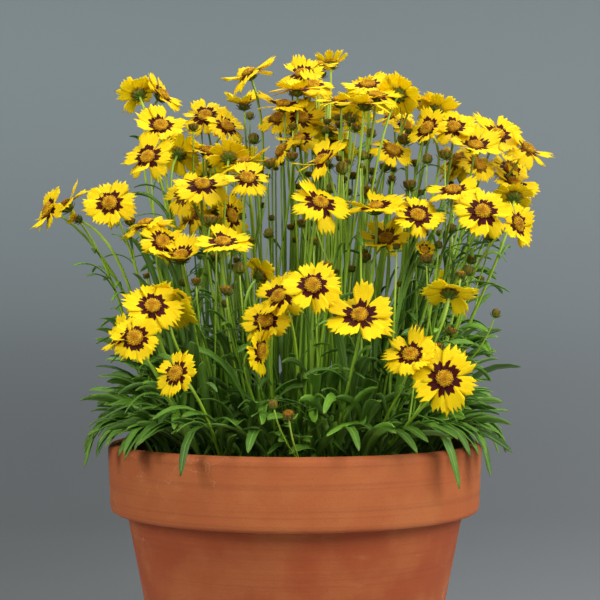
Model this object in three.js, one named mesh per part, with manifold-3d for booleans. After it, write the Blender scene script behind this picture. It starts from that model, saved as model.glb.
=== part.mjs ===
// Coreopsis in a terracotta pot: a clump of lance-shaped leaves, thin flower stems and
// yellow daisy blooms with a dark eye, growing in a rimmed pot of potting soil.
// Millimetres, +Z up, origin at the middle of the pot's underside.

import * as THREE from 'three';
import { mergeVertices } from 'three/addons/utils/BufferGeometryUtils.js';
import Module from 'manifold-3d';

// ---- driving dimensions -------------------------------------------------------------

const POT_HEIGHT = 270;
const RIM_DIAMETER = 300;
const RIM_BAND = 54; // height of the thick band round the mouth
const RIM_TAPER = 2.5; // the band is this much smaller in radius at its lower edge
const BODY_TOP_DIAMETER = 270; // the wall right below the band
const BASE_DIAMETER = 184;
const WALL = 11;
const BASE_THICKNESS = 12;
const LIP_ROUND = 4;
const EDGE_ROUND = 3; // chamfer at the foot and under the band
const MOUTH_STEP = 1; // how much thicker the wall is at the lip
const DRAIN_HOLES = 3;
const DRAIN_DIAMETER = 14;
const DRAIN_CIRCLE = 90; // diameter of the circle that the drain holes lie on
const DRAIN_SIDES = 10;
const POT_SIDES = 30;

const SEAT_GAP = 0.3; // clearance where pieces touch
const SOIL_TOP = 246;
const CROWN_RADIUS = 116;
const CROWN_FLOOR = 236;
const CROWN_TOP = 251;
const CROWN_SIDES = 16;

const STEM_RADIUS = 1.5; // at the root
const STEM_TIP_RADIUS = 1.15;
const STEM_SIDES = 3;
const STEM_STEPS = 3;
const SHORT_STEM = 150; // a shorter stem has one step fewer
const ROOT_DEPTH = 6; // how far stems and leaves are sunk into the crown
const ROOT_SHARE = 0.56; // a stem's root lies this share of its bloom's distance out
const ROOT_LIMIT = 106;
const ROOT_STRAY = 12; // how far a root may stray from its place, more with each new try
const STRAY_STEP = 4;
const WAIST_OUT = 0.3; // where a stem's lower bend lies, as shares of its way out and of its rise
const WAIST_UP = 0.45;
const WAIST_STRAY = 0.6; // the bend strays by this share of the root's own stray
const NECK_SHARE = 0.22; // how far a stem runs straight into its bloom, as a share of its rise
const NECK_EXTRA = 8;
const STEM_CLEARANCE = 4; // from a stem's midline to any other bloom
const STEM_TRIES = 20;
const STEM_SAMPLES = 20; // steps along a stem at which its clearance is taken
const FIRST_SAMPLE = 6;
const BRANCH_DROP = 62; // a bud's branch leaves its stem this far below the bud
const BRANCH_INWARD = 0.95; // and at this share of the bud's distance from the middle
const BRANCH_BEND_OUT = 0.75;
const BRANCH_BEND_UP = 0.35;
const BRANCH_RADIUS = 1.2;
const FORK_RADIUS = 0.5; // where a branch leaves its stem
const CALYX_RADIUS = 4.4;
const CALYX_DEPTH = 5;
const BUD_PEAK = 0.55; // a bud's tip above its widest ring, as a share of its diameter

const LEAF_COUNT = 70;
const LEAF_THICKNESS = 1.6; // at the keel
const LEAF_WIDTH = [8.5, 12.5];
const LEAF_ROLL = 0.7; // radians, half to each side
const LEAF_RINGS = [[0, 0.3], [0.36, 0.82], [0.7, 1]]; // place along the leaf and share of its width
const LEAF_EDGE = 8; // the outermost leaf's root lies this far inside the crown's edge
const LEAF_REACH = [34, 66]; // how far the innermost and the outermost leaves reach out
const LEAF_RISE = [112, 40]; // and how high their tips stand
const LEAF_RISE_RANGE = 50;
const LEAF_BEND = 0.36; // where a leaf bends over, as a share of its reach
const GOLDEN_ANGLE = 2.399963; // between one leaf and the next round the crown, in radians
const RIM_CLEARANCE = 8; // the least height of a leaf's midline above the pot's lip

const DISC_RADIUS = 6;
const DISC_RISE = 4.2;
const RAY_THICKNESS = 1.3;
const FINE_RAYS = 8;
const PLAIN_RAYS = 7;
const LOOSE_LIMIT = 24; // the most triangles of loose scraps that a cut may leave
const FLAT_CUP = 6; // rays raised less than this run straight out of the calyx
const SMALL_BLOOM = 30; // a smaller one has a smaller disc
const RAY_LIFT_RANGE = 8; // degrees between the most and the least raised ray of a bloom
const FRONT_BLOOMS = -95; // blooms in front of this y have the most teeth
const BACK_BLOOMS = 30; // blooms behind this y have blunt rays, and so do level and small ones
const LEVEL_LEAN = 25;
// One ray's outline: each point's share of the ray's length and its place across the ray,
// in pitches of a ray from its midline. The first point is the valley beside the ray.
const FINE_OUTLINE = [[0.52, -0.5], [0.93, -0.38], [0.88, -0.2], [1, -0.04], [0.89, 0.16], [0.94, 0.36]];
const PLAIN_OUTLINE = [[0.54, -0.5], [0.97, -0.34], [0.86, 0.02], [0.98, 0.34]];
const BLUNT_OUTLINE = [[0.54, -0.5], [0.97, -0.3], [0.97, 0.3]];

// Every kind of part has its own streams of random numbers, one for each stem, leaf or bloom.
const STEM_SEED = 20;
const LEAF_SEED = 1020;
const LEAF_SHAPE_SEED = 3020;
const BLOOM_SEED = 5020;

// ---- where the blooms stand -----------------------------------------------------------
// Each bloom: x, y, z of its disc, lean from upright and heading of the lean in degrees,
// diameter, and how far its rays are raised, in degrees. Blooms of one list touch.

const BLOOMS = {
  far_left: [[-193, -37, 454, 72, 215, 40, 5], [-181, -28, 458, 45, 190, 46, 10]],
  far_left_young: [[-172, -38, 447, 70, 190, 17, 50]],
  left_face: [[-142, -60, 457, 72, 262, 43, 0]],
  left_level: [[-114, -62, 441, 22, 225, 44, 3], [-100, -79, 426, 70, 300, 38, 0],
    [-85, -87, 415, 34, 262, 40, 24]],
  crest_left: [[-131, 34, 557, 50, 115, 38, 12], [-112, 40, 557, 50, 335, 40, 5]],
  left_top: [[-107, -20, 522, 52, 275, 43, 0], [-115, -38, 495, 60, 250, 44, 0]],
  left_back: [[-95, 10, 504, 58, 70, 40, 0], [-71, 4, 505, 28, 290, 38, 0]],
  left_ridge: [[-75, 33, 538, 50, 262, 40, 0], [-57, 22, 528, 54, 315, 38, 0]],
  left_inner: [[-71, -62, 471, 42, 280, 46, -10], [-84, -55, 465, 60, 240, 40, 0]],
  crest_lone: [[-37, 0, 568, 28, 215, 47, 4]],
  crest_young: [[-44, 62, 553, 10, 250, 40, 34]],
  crest_cup: [[31, 84, 592, 10, 90, 32, 40]],
  crest_trio: [[6, 32, 573, 36, 258, 40, 0], [14, 12, 560, 40, 285, 40, 0],
    [2, -12, 553, 14, 262, 46, 2], [19, 53, 584, 14, 262, 36, 5]],
  crest_mid: [[-9, -8, 541, 20, 262, 44, 4]],
  mid_bunch: [[3, -8, 513, 30, 250, 40, 0], [-10, -27, 502, 55, 200, 34, -15], [28, 8, 523, 14, 0, 38, 5],
    [34, 33, 514, 45, 60, 42, 0], [5, 6, 533, 60, 285, 38, -12], [-14, 10, 533, 42, 258, 40, -10]],
  mid_tilt: [[21, -84, 487, 42, 222, 46, 8]],
  mid_left: [[-53, -17, 498, 50, 90, 34, 0], [-40, -28, 492, 14, 185, 42, 0]],
  mid_low: [[-36, -80, 474, 42, 285, 36, -5]],
  right_crown: [[58, -3, 550, 40, 100, 40, 0], [58, -25, 554, 32, 262, 40, 0],
    [63, -51, 541, 22, 275, 42, 0], [82, -36, 545, 62, 70, 38, 0]],
  right_flat: [[35, -61, 536, 16, 250, 42, 5], [53, -86, 530, 14, 290, 44, 5]],
  right_peak: [[96, -9, 547, 30, 318, 42, 5], [113, -22, 534, 58, 60, 36, 0],
    [113, -6, 544, 8, 0, 18, 50]],
  right_hidden: [[103, -56, 515, 62, 228, 36, 0]],
  right_gap: [[82, 39, 540, 35, 250, 34, 0], [92, 26, 529, 58, 300, 28, 0]],
  right_droop: [[76, -44, 500, 52, 300, 36, -12]],
  right_front: [[124, -41, 518, 46, 262, 44, 5], [140, -52, 502, 32, 275, 44, 20]],
  right_edge: [[162, -14, 516, 50, 288, 46, 5], [186, -18, 504, 46, 318, 42, 0]],
  right_dull: [[130, -10, 496, 58, 235, 34, 0], [146, -21, 491, 56, 300, 34, 0],
    [128, -6, 489, 40, 205, 34, -10]],
  right_rim: [[176, -7, 478, 45, 305, 44, 5], [176, 9, 491, 58, 292, 36, 0],
    [174, -26, 466, 40, 80, 32, 0]],
  right_level: [[120, -78, 465, 27, 268, 42, 0]],
  right_face: [[139, -102, 447, 64, 272, 44, 0]],
  right_corner: [[167, -84, 439, 76, 318, 40, 0]],
  left_dull: [[-84, -11, 452, 72, 235, 36, 0], [-61, -10, 454, 32, 90, 38, -10],
    [-51, -25, 450, 76, 325, 38, 0]],
  left_low: [[-53, -104, 424, 30, 280, 44, 5]],
  mid_small: [[-25, -86, 401, 58, 30, 32, 0]],
  mid_face: [[19, -106, 453, 46, 290, 46, 2]],
  right_pair: [[61, -82, 452, 22, 250, 46, 4], [92, -89, 445, 50, 280, 43, 0]],
  right_cup: [[70, -66, 429, 48, 250, 42, 28]],
  right_young: [[98, -74, 420, 58, 290, 18, 35]],
  front_face: [[13, -150, 391, 66, 272, 44, 0]],
  front_run: [[-11, -110, 384, 58, 240, 42, 5], [-21, -117, 366, 54, 262, 38, -5],
    [-25, -132, 345, 96, 340, 36, 0]],
  front_big: [[46, -152, 370, 52, 262, 50, 5]],
  front_left: [[-104, -109, 377, 56, 280, 45, 0], [-91, -92, 378, 60, 70, 44, 0]],
  front_corner: [[-113, -142, 354, 68, 266, 37, 0], [-125, -128, 356, 64, 212, 34, 0]],
  front_low: [[-82, -156, 329, 66, 232, 37, 2]],
  front_right: [[113, -116, 388, 30, 82, 44, -8]],
  front_duo: [[82, -147, 342, 50, 262, 40, 10], [105, -159, 326, 75, 262, 50, 0]],
  back_face: [[15, 162, 397, 60, 85, 44, 0]],
  back_low: [[62, 158, 373, 60, 70, 42, 0]],
  back_left: [[-124, 105, 375, 58, 130, 42, 0]],
  back_right: [[139, 115, 395, 58, 50, 42, 0]],
  back_dome: [[-64, 150, 439, 50, 110, 44, 0]],
  back_side: [[85, 150, 442, 52, 70, 44, 0]],
  back_edge: [[160, 90, 461, 55, 40, 42, 0]],
  back_high: [[-80, 112, 495, 45, 120, 44, 0]],
  back_top: [[20, 108, 552, 35, 90, 44, 0], [50, 109, 549, 38, 70, 43, 0]],
  back_mid: [[-44, 104, 505, 40, 100, 42, 0]],
  back_wing: [[-152, 44, 464, 55, 160, 40, 0]],
};

// Each bud or spent head: x, y, z and diameter. It stands on a side branch of the nearest stem.
const BUDS = [
  [-129, -40, 445, 8], [-82, -6, 524, 8], [-34, 12, 517, 11], [-38, 40, 540, 8], [19, 30, 541, 8],
  [-2, -44, 496, 9], [-20, -34, 491, 9], [36, -84, 482, 12], [28, -60, 469, 9], [11, -60, 471, 8],
  [87, -6, 541, 9], [61, -20, 517, 9], [48, -44, 518, 8], [87, -30, 511, 11], [101, -34, 509, 9],
  [52, -56, 495, 9], [54, -30, 486, 9], [72, -20, 490, 9], [103, -50, 493, 9], [116, -56, 496, 10],
  [57, -46, 468, 12], [67, -40, 463, 8], [90, -40, 474, 10], [55, -30, 457, 8], [-64, -72, 444, 11],
  [-20, -50, 435, 9], [6, -40, 444, 8], [54, -60, 416, 9], [99, -84, 414, 9], [91, -26, 436, 9],
  [120, -60, 438, 9], [150, -64, 432, 9], [-51, -90, 390, 9], [-41, -94, 406, 10], [137, -50, 415, 9],
  [132, -74, 405, 9], [146, -30, 399, 9], [156, -50, 373, 8], [116, -96, 360, 9], [105, -112, 348, 8],
  [90, -110, 360, 8], [-15, -150, 308, 8], [-4, -156, 301, 8],
];

// ---- small helpers ----------------------------------------------------------------------

const wasm = await Module();
wasm.setup();

/** A repeatable stream of numbers from 0 to 1. */
function randomSource(seed) {
  let state = seed;
  return () => {
    state = (state + 0x6d2b79f5) | 0;
    let mixed = Math.imul(state ^ (state >>> 15), 1 | state);
    mixed = (mixed + Math.imul(mixed ^ (mixed >>> 7), 61 | mixed)) ^ mixed;
    return ((mixed ^ (mixed >>> 14)) >>> 0) / 4294967296;
  };
}

const radians = THREE.MathUtils.degToRad;
const lerp = THREE.MathUtils.lerp;

/** A closed solid from points and triangles. */
function solidFrom(points, faces) {
  const vertProperties = new Float32Array(points.length * 3);
  points.forEach((point, i) => vertProperties.set([point.x, point.y, point.z], i * 3));
  const triVerts = new Uint32Array(faces.flat());
  return new wasm.Manifold(new wasm.Mesh({ numProp: 3, vertProperties, triVerts }));
}

/** A closed solid from a three.js geometry. */
function solidFromGeometry(geometry) {
  geometry.deleteAttribute('normal');
  geometry.deleteAttribute('uv');
  const merged = mergeVertices(geometry, 1e-4);
  const vertProperties = new Float32Array(merged.attributes.position.array);
  const triVerts = new Uint32Array(merged.index.array);
  return new wasm.Manifold(new wasm.Mesh({ numProp: 3, vertProperties, triVerts }));
}

/** A turned solid: the profile of [radius, height] pairs swept round +Z. */
function turned(profile, sides) {
  const points = profile.map(([radius, height]) => new THREE.Vector2(radius, height));
  const geometry = new THREE.LatheGeometry(points, sides);
  geometry.rotateX(Math.PI / 2);
  return solidFromGeometry(geometry);
}

function joined(solids) {
  let parts = solids;
  while (parts.length > 1) {
    const next = [];
    for (let i = 0; i < parts.length; i += 2) {
      next.push(i + 1 < parts.length ? parts[i].add(parts[i + 1]) : parts[i]);
    }
    parts = next;
  }
  return parts[0];
}

function boxesMeet(a, b) {
  const first = a.boundingBox();
  const second = b.boundingBox();
  return [0, 1, 2].every((k) => first.min[k] < second.max[k] && second.min[k] < first.max[k]);
}

/** The solid with every cutter that comes near it taken away. */
function cutClear(solid, cutters) {
  let result = solid;
  for (const cutter of cutters) {
    if (boxesMeet(result, cutter)) {
      result = result.subtract(cutter);
    }
  }
  return result;
}

/** The mesh of a solid's largest connected body; loose scraps are left out. */
function largestBody(solid) {
  const mesh = solid.getMesh();
  const count = mesh.vertProperties.length / 3;
  const parent = Array.from({ length: count }, (_, i) => i);
  const find = (i) => {
    let top = i;
    while (parent[top] !== top) {
      top = parent[top];
    }
    parent[i] = top;
    return top;
  };
  const triangles = [];
  for (let i = 0; i < mesh.triVerts.length; i += 3) {
    const [a, b, c] = mesh.triVerts.subarray(i, i + 3);
    triangles.push([a, b, c]);
    parent[find(b)] = find(a);
    parent[find(c)] = find(a);
  }
  const sizes = new Map();
  triangles.forEach(([a]) => sizes.set(find(a), (sizes.get(find(a)) ?? 0) + 1));
  const [keep] = [...sizes.entries()].sort((p, q) => q[1] - p[1])[0];
  const kept = triangles.filter(([a]) => find(a) === keep);
  return { mesh, kept, dropped: triangles.length - kept.length };
}

const group = new THREE.Group();

function addPiece(name, solid, material) {
  const { mesh, kept, dropped } = largestBody(solid);
  if (dropped > LOOSE_LIMIT) {
    throw new Error(`${name} has come apart`);
  }
  const geometry = new THREE.BufferGeometry();
  geometry.setAttribute('position', new THREE.BufferAttribute(mesh.vertProperties, 3));
  geometry.setIndex(kept.flat());
  const piece = new THREE.Mesh(geometry, material);
  piece.name = name;
  group.add(piece);
}

// ---- pot and soil ---------------------------------------------------------------------------

const rimRadius = RIM_DIAMETER / 2;
const bandFoot = POT_HEIGHT - RIM_BAND;
const bodyTop = BODY_TOP_DIAMETER / 2;
const baseRadius = BASE_DIAMETER / 2;
const innerTop = rimRadius - WALL - MOUTH_STEP;

/** Radius of the pot's inner wall at a height. */
function innerRadius(height) {
  const low = baseRadius - WALL;
  return lerp(low, innerTop, (height - BASE_THICKNESS) / (POT_HEIGHT - LIP_ROUND - BASE_THICKNESS));
}

function makePot() {
  const profile = [
    [0, 0],
    [baseRadius - EDGE_ROUND, 0],
    [baseRadius, EDGE_ROUND],
    [bodyTop, bandFoot - 1],
    [rimRadius - RIM_TAPER - EDGE_ROUND, bandFoot],
    [rimRadius - RIM_TAPER, bandFoot + EDGE_ROUND],
    [rimRadius, POT_HEIGHT - LIP_ROUND],
    [rimRadius - LIP_ROUND, POT_HEIGHT],
    [innerTop + LIP_ROUND, POT_HEIGHT],
    [innerTop, POT_HEIGHT - LIP_ROUND],
    [baseRadius - WALL, BASE_THICKNESS],
    [0, BASE_THICKNESS],
  ];
  let pot = turned(profile, POT_SIDES);
  for (let i = 0; i < DRAIN_HOLES; i += 1) {
    const angle = (i / DRAIN_HOLES) * 2 * Math.PI + Math.PI / 2;
    const radius = DRAIN_DIAMETER / 2;
    const out = DRAIN_CIRCLE / 2;
    const drill = new THREE.CylinderGeometry(radius, radius, 4 * BASE_THICKNESS, DRAIN_SIDES);
    drill.rotateX(Math.PI / 2);
    drill.translate(out * Math.cos(angle), out * Math.sin(angle), 0);
    pot = pot.subtract(solidFromGeometry(drill));
  }
  return pot;
}

/** The soil fills the pot and holds the crown in a plain round hollow. */
function makeSoil() {
  const floor = BASE_THICKNESS + SEAT_GAP;
  const hollow = (CROWN_RADIUS + SEAT_GAP) / Math.cos(Math.PI / POT_SIDES);
  const profile = [
    [0, floor],
    [innerRadius(floor) - SEAT_GAP, floor],
    [innerRadius(SOIL_TOP) - SEAT_GAP, SOIL_TOP],
    [hollow, SOIL_TOP + 1],
    [hollow, CROWN_FLOOR - SEAT_GAP],
    [0, CROWN_FLOOR - SEAT_GAP],
  ];
  return turned(profile, POT_SIDES);
}

// ---- stems, calyces and buds ----------------------------------------------------------------

/** A bloom's own axes: axis is the way it faces, side and up span its rays. */
function bloomAxes([, , , lean, heading]) {
  const tilt = radians(lean);
  const turn = radians(heading);
  const flat = Math.sin(tilt);
  const axis = new THREE.Vector3(flat * Math.cos(turn), flat * Math.sin(turn), Math.cos(tilt));
  const side = new THREE.Vector3(-Math.sin(turn), Math.cos(turn), 0);
  const up = new THREE.Vector3().crossVectors(axis, side);
  return { axis, side, up };
}

/** How far a point is from a bloom, taken as a plate with raised rays. */
function distanceToBloom(point, bloom) {
  const [x, y, z, , , diameter, cup] = bloom;
  const offset = point.clone().sub(new THREE.Vector3(x, y, z));
  const height = offset.dot(bloomAxes(bloom).axis);
  const spread = Math.sqrt(Math.max(offset.lengthSq() - height * height, 0));
  const raised = Math.max(spread - DISC_RADIUS, 0) * Math.tan(radians(cup));
  return Math.hypot(height - raised, Math.max(spread - diameter / 2, 0));
}

/** A midline for the stem: out of the crown, up, and over into the back of its bloom. */
function stemCurve(bloom, random, stray) {
  const [x, y, z] = bloom;
  const { axis } = bloomAxes(bloom);
  const reach = Math.hypot(x, y);
  const out = Math.min(reach * ROOT_SHARE, ROOT_LIMIT) / reach;
  const root = new THREE.Vector3(x * out + stray * (random() - 0.5), y * out + stray * (random() - 0.5), 0);
  root.clampLength(0, ROOT_LIMIT);
  root.z = CROWN_TOP - ROOT_DEPTH;
  const seat = new THREE.Vector3(x, y, z).addScaledVector(axis, -SEAT_GAP);
  const rise = seat.z - root.z;
  const neck = seat.clone().addScaledVector(axis, -NECK_SHARE * rise - NECK_EXTRA);
  const waist = root.clone().lerp(seat, WAIST_OUT);
  waist.x += WAIST_STRAY * stray * (random() - 0.5);
  waist.y += WAIST_STRAY * stray * (random() - 0.5);
  waist.z = root.z + WAIST_UP * rise;
  return new THREE.CubicBezierCurve3(root, waist, neck, seat);
}

/** The first of a few midlines that passes clear of every other bloom, or the clearest of them. */
function clearStem(bloom, index, others) {
  const random = randomSource(STEM_SEED + index);
  let best = null;
  let widest = -1;
  for (let attempt = 0; attempt < STEM_TRIES && widest < STEM_CLEARANCE; attempt += 1) {
    const curve = stemCurve(bloom, random, ROOT_STRAY + STRAY_STEP * attempt);
    let nearest = STEM_CLEARANCE;
    for (let step = FIRST_SAMPLE; step < STEM_SAMPLES; step += 1) {
      const point = curve.getPoint(step / STEM_SAMPLES);
      for (const other of others) {
        if (other !== bloom) {
          nearest = Math.min(nearest, distanceToBloom(point, other));
        }
      }
    }
    if (nearest > widest) {
      widest = nearest;
      best = curve;
    }
  }
  return best;
}

/** Where a stem's rings stand along its midline: from the root to the neck under the calyx. */
function stemStations(curve) {
  const length = curve.getLength();
  const steps = length < SHORT_STEM ? STEM_STEPS - 1 : STEM_STEPS;
  const neck = 1 - CALYX_DEPTH / length;
  return Array.from({ length: steps + 1 }, (_, i) => (i / steps) * neck);
}

/** The midline of a bud's branch, out of the stem that passes nearest below the bud. */
function branchCurve([x, y, z], stemCurves) {
  const fork = new THREE.Vector3(BRANCH_INWARD * x, BRANCH_INWARD * y, z - BRANCH_DROP);
  let start = null;
  let nearest = Infinity;
  for (const curve of stemCurves) {
    const middles = stemStations(curve).map((t) => curve.getPoint(t));
    for (let k = 1; k < middles.length; k += 1) {
      const stretch = new THREE.Line3(middles[k - 1], middles[k]);
      const point = stretch.closestPointToPoint(fork, true, new THREE.Vector3());
      const distance = point.distanceTo(fork);
      if (distance < nearest) {
        nearest = distance;
        start = point;
      }
    }
  }
  const end = new THREE.Vector3(x, y, z);
  const bend = start.clone().lerp(end, BRANCH_BEND_OUT);
  bend.z = lerp(start.z, z, BRANCH_BEND_UP);
  return new THREE.QuadraticBezierCurve3(start, bend, end);
}

/** A ring of points round a curve at t. */
function ringAt(curve, t, radius, sides, twist) {
  const centre = curve.getPoint(t);
  const along = curve.getTangent(t);
  const across = new THREE.Vector3(1, 0, 0).cross(along).normalize();
  const second = new THREE.Vector3().crossVectors(along, across);
  const ring = [];
  for (let i = 0; i < sides; i += 1) {
    const angle = (i / sides) * 2 * Math.PI + twist;
    ring.push(centre.clone()
      .addScaledVector(across, radius * Math.cos(angle))
      .addScaledVector(second, radius * Math.sin(angle)));
  }
  return ring;
}

/** A closed body through rings; a ring may have as many points as the one before or twice as many. */
function loft(rings, tip) {
  const points = rings.flat();
  const faces = [];
  let start = 0;
  for (let i = 1; i < rings[0].length - 1; i += 1) {
    faces.push([0, i + 1, i]);
  }
  for (let k = 1; k < rings.length; k += 1) {
    const count = rings[k - 1].length;
    const next = start + count;
    const step = rings[k].length / count;
    for (let i = 0; i < count; i += 1) {
      const a = start + i;
      const b = start + ((i + 1) % count);
      const c = next + i * step;
      const d = next + ((i + 1) * step) % rings[k].length;
      if (step === 2) {
        faces.push([a, c + 1, c]);
        faces.push([a, b, c + 1]);
        faces.push([b, d, c + 1]);
      } else {
        faces.push([a, b, d]);
        faces.push([a, d, c]);
      }
    }
    start = next;
  }
  const last = rings[rings.length - 1].length;
  if (tip) {
    points.push(tip);
    for (let i = 0; i < last; i += 1) {
      faces.push([start + i, start + ((i + 1) % last), points.length - 1]);
    }
  } else {
    for (let i = 1; i < last - 1; i += 1) {
      faces.push([start, start + i, start + i + 1]);
    }
  }
  return solidFrom(points, faces);
}

/** A flower stem that widens into the calyx under its bloom. */
function makeStem(bloom, curve, grow) {
  const rings = stemStations(curve).map((t) => {
    return ringAt(curve, t, lerp(STEM_RADIUS, STEM_TIP_RADIUS, t) + 2 * grow, STEM_SIDES, 0);
  });
  const calyx = Math.min(CALYX_RADIUS, bloom[5] / 4);
  rings.push(ringAt(curve, 1, calyx + grow, 2 * STEM_SIDES, 0));
  return loft(rings);
}

/** A bud, or a head that has shed its rays, on its branch. */
function makeBud([, , , diameter], curve, grow) {
  const neck = 1 - (0.5 * diameter) / curve.getLength();
  const rings = [
    ringAt(curve, 0, FORK_RADIUS + 2 * grow, STEM_SIDES, 0),
    ringAt(curve, neck, BRANCH_RADIUS + 2 * grow, STEM_SIDES, 0),
    ringAt(curve, 1, diameter / 2 + grow, 2 * STEM_SIDES, 0),
  ];
  const tip = curve.getPoint(1).addScaledVector(curve.getTangent(1), BUD_PEAK * diameter + grow);
  return loft(rings, tip);
}

// ---- leaves --------------------------------------------------------------------------------------

/** The midline of leaf number index: up from the crown and arching outwards. */
function leafCurve(index) {
  const random = randomSource(LEAF_SEED + index);
  const share = (index + 0.5) / LEAF_COUNT;
  const out = (CROWN_RADIUS - LEAF_EDGE) * Math.sqrt(share);
  const angle = index * GOLDEN_ANGLE + 0.5 * (random() - 0.5);
  const heading = angle + 0.9 * (random() - 0.5);
  const reach = lerp(...LEAF_REACH, share) * lerp(0.75, 1.25, random());
  const tipHeight = lerp(...LEAF_RISE, share) + LEAF_RISE_RANGE * (random() - 0.5);
  const root = new THREE.Vector3(out * Math.cos(angle), out * Math.sin(angle), CROWN_TOP - ROOT_DEPTH);
  const tip = root.clone();
  tip.x += reach * Math.cos(heading);
  tip.y += reach * Math.sin(heading);
  tip.z += tipHeight;
  const bend = root.clone().lerp(tip, LEAF_BEND);
  bend.z = root.z + 0.7 * Math.max(tipHeight, 30) + 22;
  const curve = new THREE.QuadraticBezierCurve3(root, bend, tip);
  let lowest = 0;
  while (lowest < POT_HEIGHT + RIM_CLEARANCE) {
    bend.z += 6;
    lowest = 1000;
    for (let t = 0; t <= 1; t += 0.05) {
      const point = curve.getPoint(t);
      const radius = Math.hypot(point.x, point.y);
      if (radius > innerTop - 6 && radius < rimRadius + 5) {
        lowest = Math.min(lowest, point.z);
      }
    }
  }
  return curve;
}

/** A lance-shaped leaf with a flat top and a keel below. */
function makeLeaf(index, grow) {
  const random = randomSource(LEAF_SHAPE_SEED + index);
  const curve = leafCurve(index);
  const width = lerp(...LEAF_WIDTH, random());
  const roll = LEAF_ROLL * (random() - 0.5);
  const rings = LEAF_RINGS.map(([t, share]) => {
    const centre = curve.getPoint(t);
    const along = curve.getTangent(t);
    const across = new THREE.Vector3(along.y, -along.x, 0).normalize().applyAxisAngle(along, roll);
    const below = new THREE.Vector3().crossVectors(along, across).negate();
    if (below.z > 0) {
      below.negate();
    }
    const half = (width * share) / 2 + grow;
    const edge = centre.clone().addScaledVector(below, -grow);
    return [
      edge.clone().addScaledVector(across, half),
      edge.clone().addScaledVector(across, -half),
      centre.clone().addScaledVector(below, LEAF_THICKNESS + grow),
    ];
  });
  const solid = loft(rings, curve.getPoint(1));
  return solid.volume() > 0 ? solid : loft(rings.map((ring) => ring.reverse()), curve.getPoint(1));
}

/** The low mound of shoots that every stem and leaf grows from. */
function makeCrown() {
  return turned([
    [0, CROWN_FLOOR],
    [CROWN_RADIUS, CROWN_FLOOR],
    [CROWN_RADIUS, SOIL_TOP + 1],
    [CROWN_RADIUS - 6, CROWN_TOP],
    [0, CROWN_TOP],
  ], CROWN_SIDES);
}

// ---- blooms --------------------------------------------------------------------------------------

/** One bloom: a domed disc and toothed rays that thin out towards their edges. */
function makeBloom(bloom, index, grow) {
  const random = randomSource(BLOOM_SEED + index);
  const [x, y, z, lean, , diameter, cup] = bloom;
  const { axis, side, up } = bloomAxes(bloom);
  const fine = y < FRONT_BLOOMS && diameter > SMALL_BLOOM;
  const blunt = y > BACK_BLOOMS || lean < LEVEL_LEAN || diameter < SMALL_BLOOM;
  const rays = fine ? FINE_RAYS : PLAIN_RAYS;
  const spin = random() * 2 * Math.PI;
  const size = Math.min(1, diameter / SMALL_BLOOM);
  const disc = DISC_RADIUS * size;
  const points = [];
  const faces = [];
  const place = (radius, angle, height) => {
    points.push(new THREE.Vector3(x, y, z)
      .addScaledVector(axis, height)
      .addScaledVector(side, radius * Math.cos(angle))
      .addScaledVector(up, radius * Math.sin(angle)));
    return points.length - 1;
  };
  let shape = PLAIN_OUTLINE;
  if (fine) {
    shape = FINE_OUTLINE;
  } else if (blunt) {
    shape = BLUNT_OUTLINE;
  }
  const pitch = (2 * Math.PI) / rays;
  const outline = [];
  for (let i = 0; i < rays; i += 1) {
    const lift = radians(cup + RAY_LIFT_RANGE * (random() - 0.5));
    const length = (diameter / 2) * lerp(0.93, 1.05, random());
    for (const [share, offset] of shape) {
      const run = Math.max(share * length - disc, 0) + grow;
      const angle = spin + (i + offset) * pitch;
      const flat = offset === -0.5 ? radians(cup) : lift;
      outline.push(place(disc + run * Math.cos(flat), angle, RAY_THICKNESS / 2 + run * Math.sin(flat)));
    }
  }
  const top = [];
  const bottom = [];
  const apex = place(0, 0, DISC_RISE * size + grow);
  const foot = place(0, 0, -grow);
  const flatBelow = cup >= 0 && cup <= FLAT_CUP;
  for (let i = 0; i < rays; i += 1) {
    const angle = spin + i * pitch;
    top.push(place(disc, angle, RAY_THICKNESS + grow));
    bottom.push(flatBelow ? foot : place(disc * 0.86, angle, -grow));
  }
  const teeth = shape.length;
  for (let i = 0; i < rays; i += 1) {
    const next = (i + 1) % rays;
    for (let k = 0; k < teeth; k += 1) {
      const a = outline[i * teeth + k];
      const b = outline[(i * teeth + k + 1) % outline.length];
      faces.push([top[i], a, b]);
      faces.push([bottom[i], b, a]);
    }
    const valley = outline[(next * teeth) % outline.length];
    faces.push([top[i], valley, top[next]]);
    faces.push([top[i], top[next], apex]);
    if (!flatBelow) {
      faces.push([bottom[i], bottom[next], valley]);
      faces.push([foot, bottom[next], bottom[i]]);
    }
  }
  return solidFrom(points, faces);
}

// ---- materials --------------------------------------------------------------------------------------

function finish(name, color, roughness) {
  return new THREE.MeshStandardMaterial({ name, color, roughness, metalness: 0 });
}

const terracotta = finish('terracotta', 0xb5653c, 0.85);
const pottingSoil = finish('potting_soil', 0x2e2018, 1);
const leafGreen = finish('leaf_green', 0x3f7a1f, 0.6);
const petalYellow = finish('petal_yellow', 0xf7cf0a, 0.55);

// ---- the whole plant in its pot ---------------------------------------------------------------------

addPiece('pot', makePot(), terracotta);
addPiece('soil', makeSoil(), pottingSoil);

const sprays = Object.entries(BLOOMS);
const blooms = sprays.flatMap(([, list]) => list);
const stemCurves = blooms.map((bloom, i) => clearStem(bloom, i, blooms));
const branchCurves = BUDS.map((bud) => branchCurve(bud, stemCurves));
const makeStems = (grow) => blooms.map((bloom, i) => makeStem(bloom, stemCurves[i], grow));
const makeBuds = (grow) => BUDS.map((bud, i) => makeBud(bud, branchCurves[i], grow));
const makeLeaves = (grow) => Array.from({ length: LEAF_COUNT }, (_, i) => makeLeaf(i, grow));
addPiece('clump', joined([makeCrown(), ...makeStems(0), ...makeLeaves(0), ...makeBuds(0)]), leafGreen);

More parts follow.
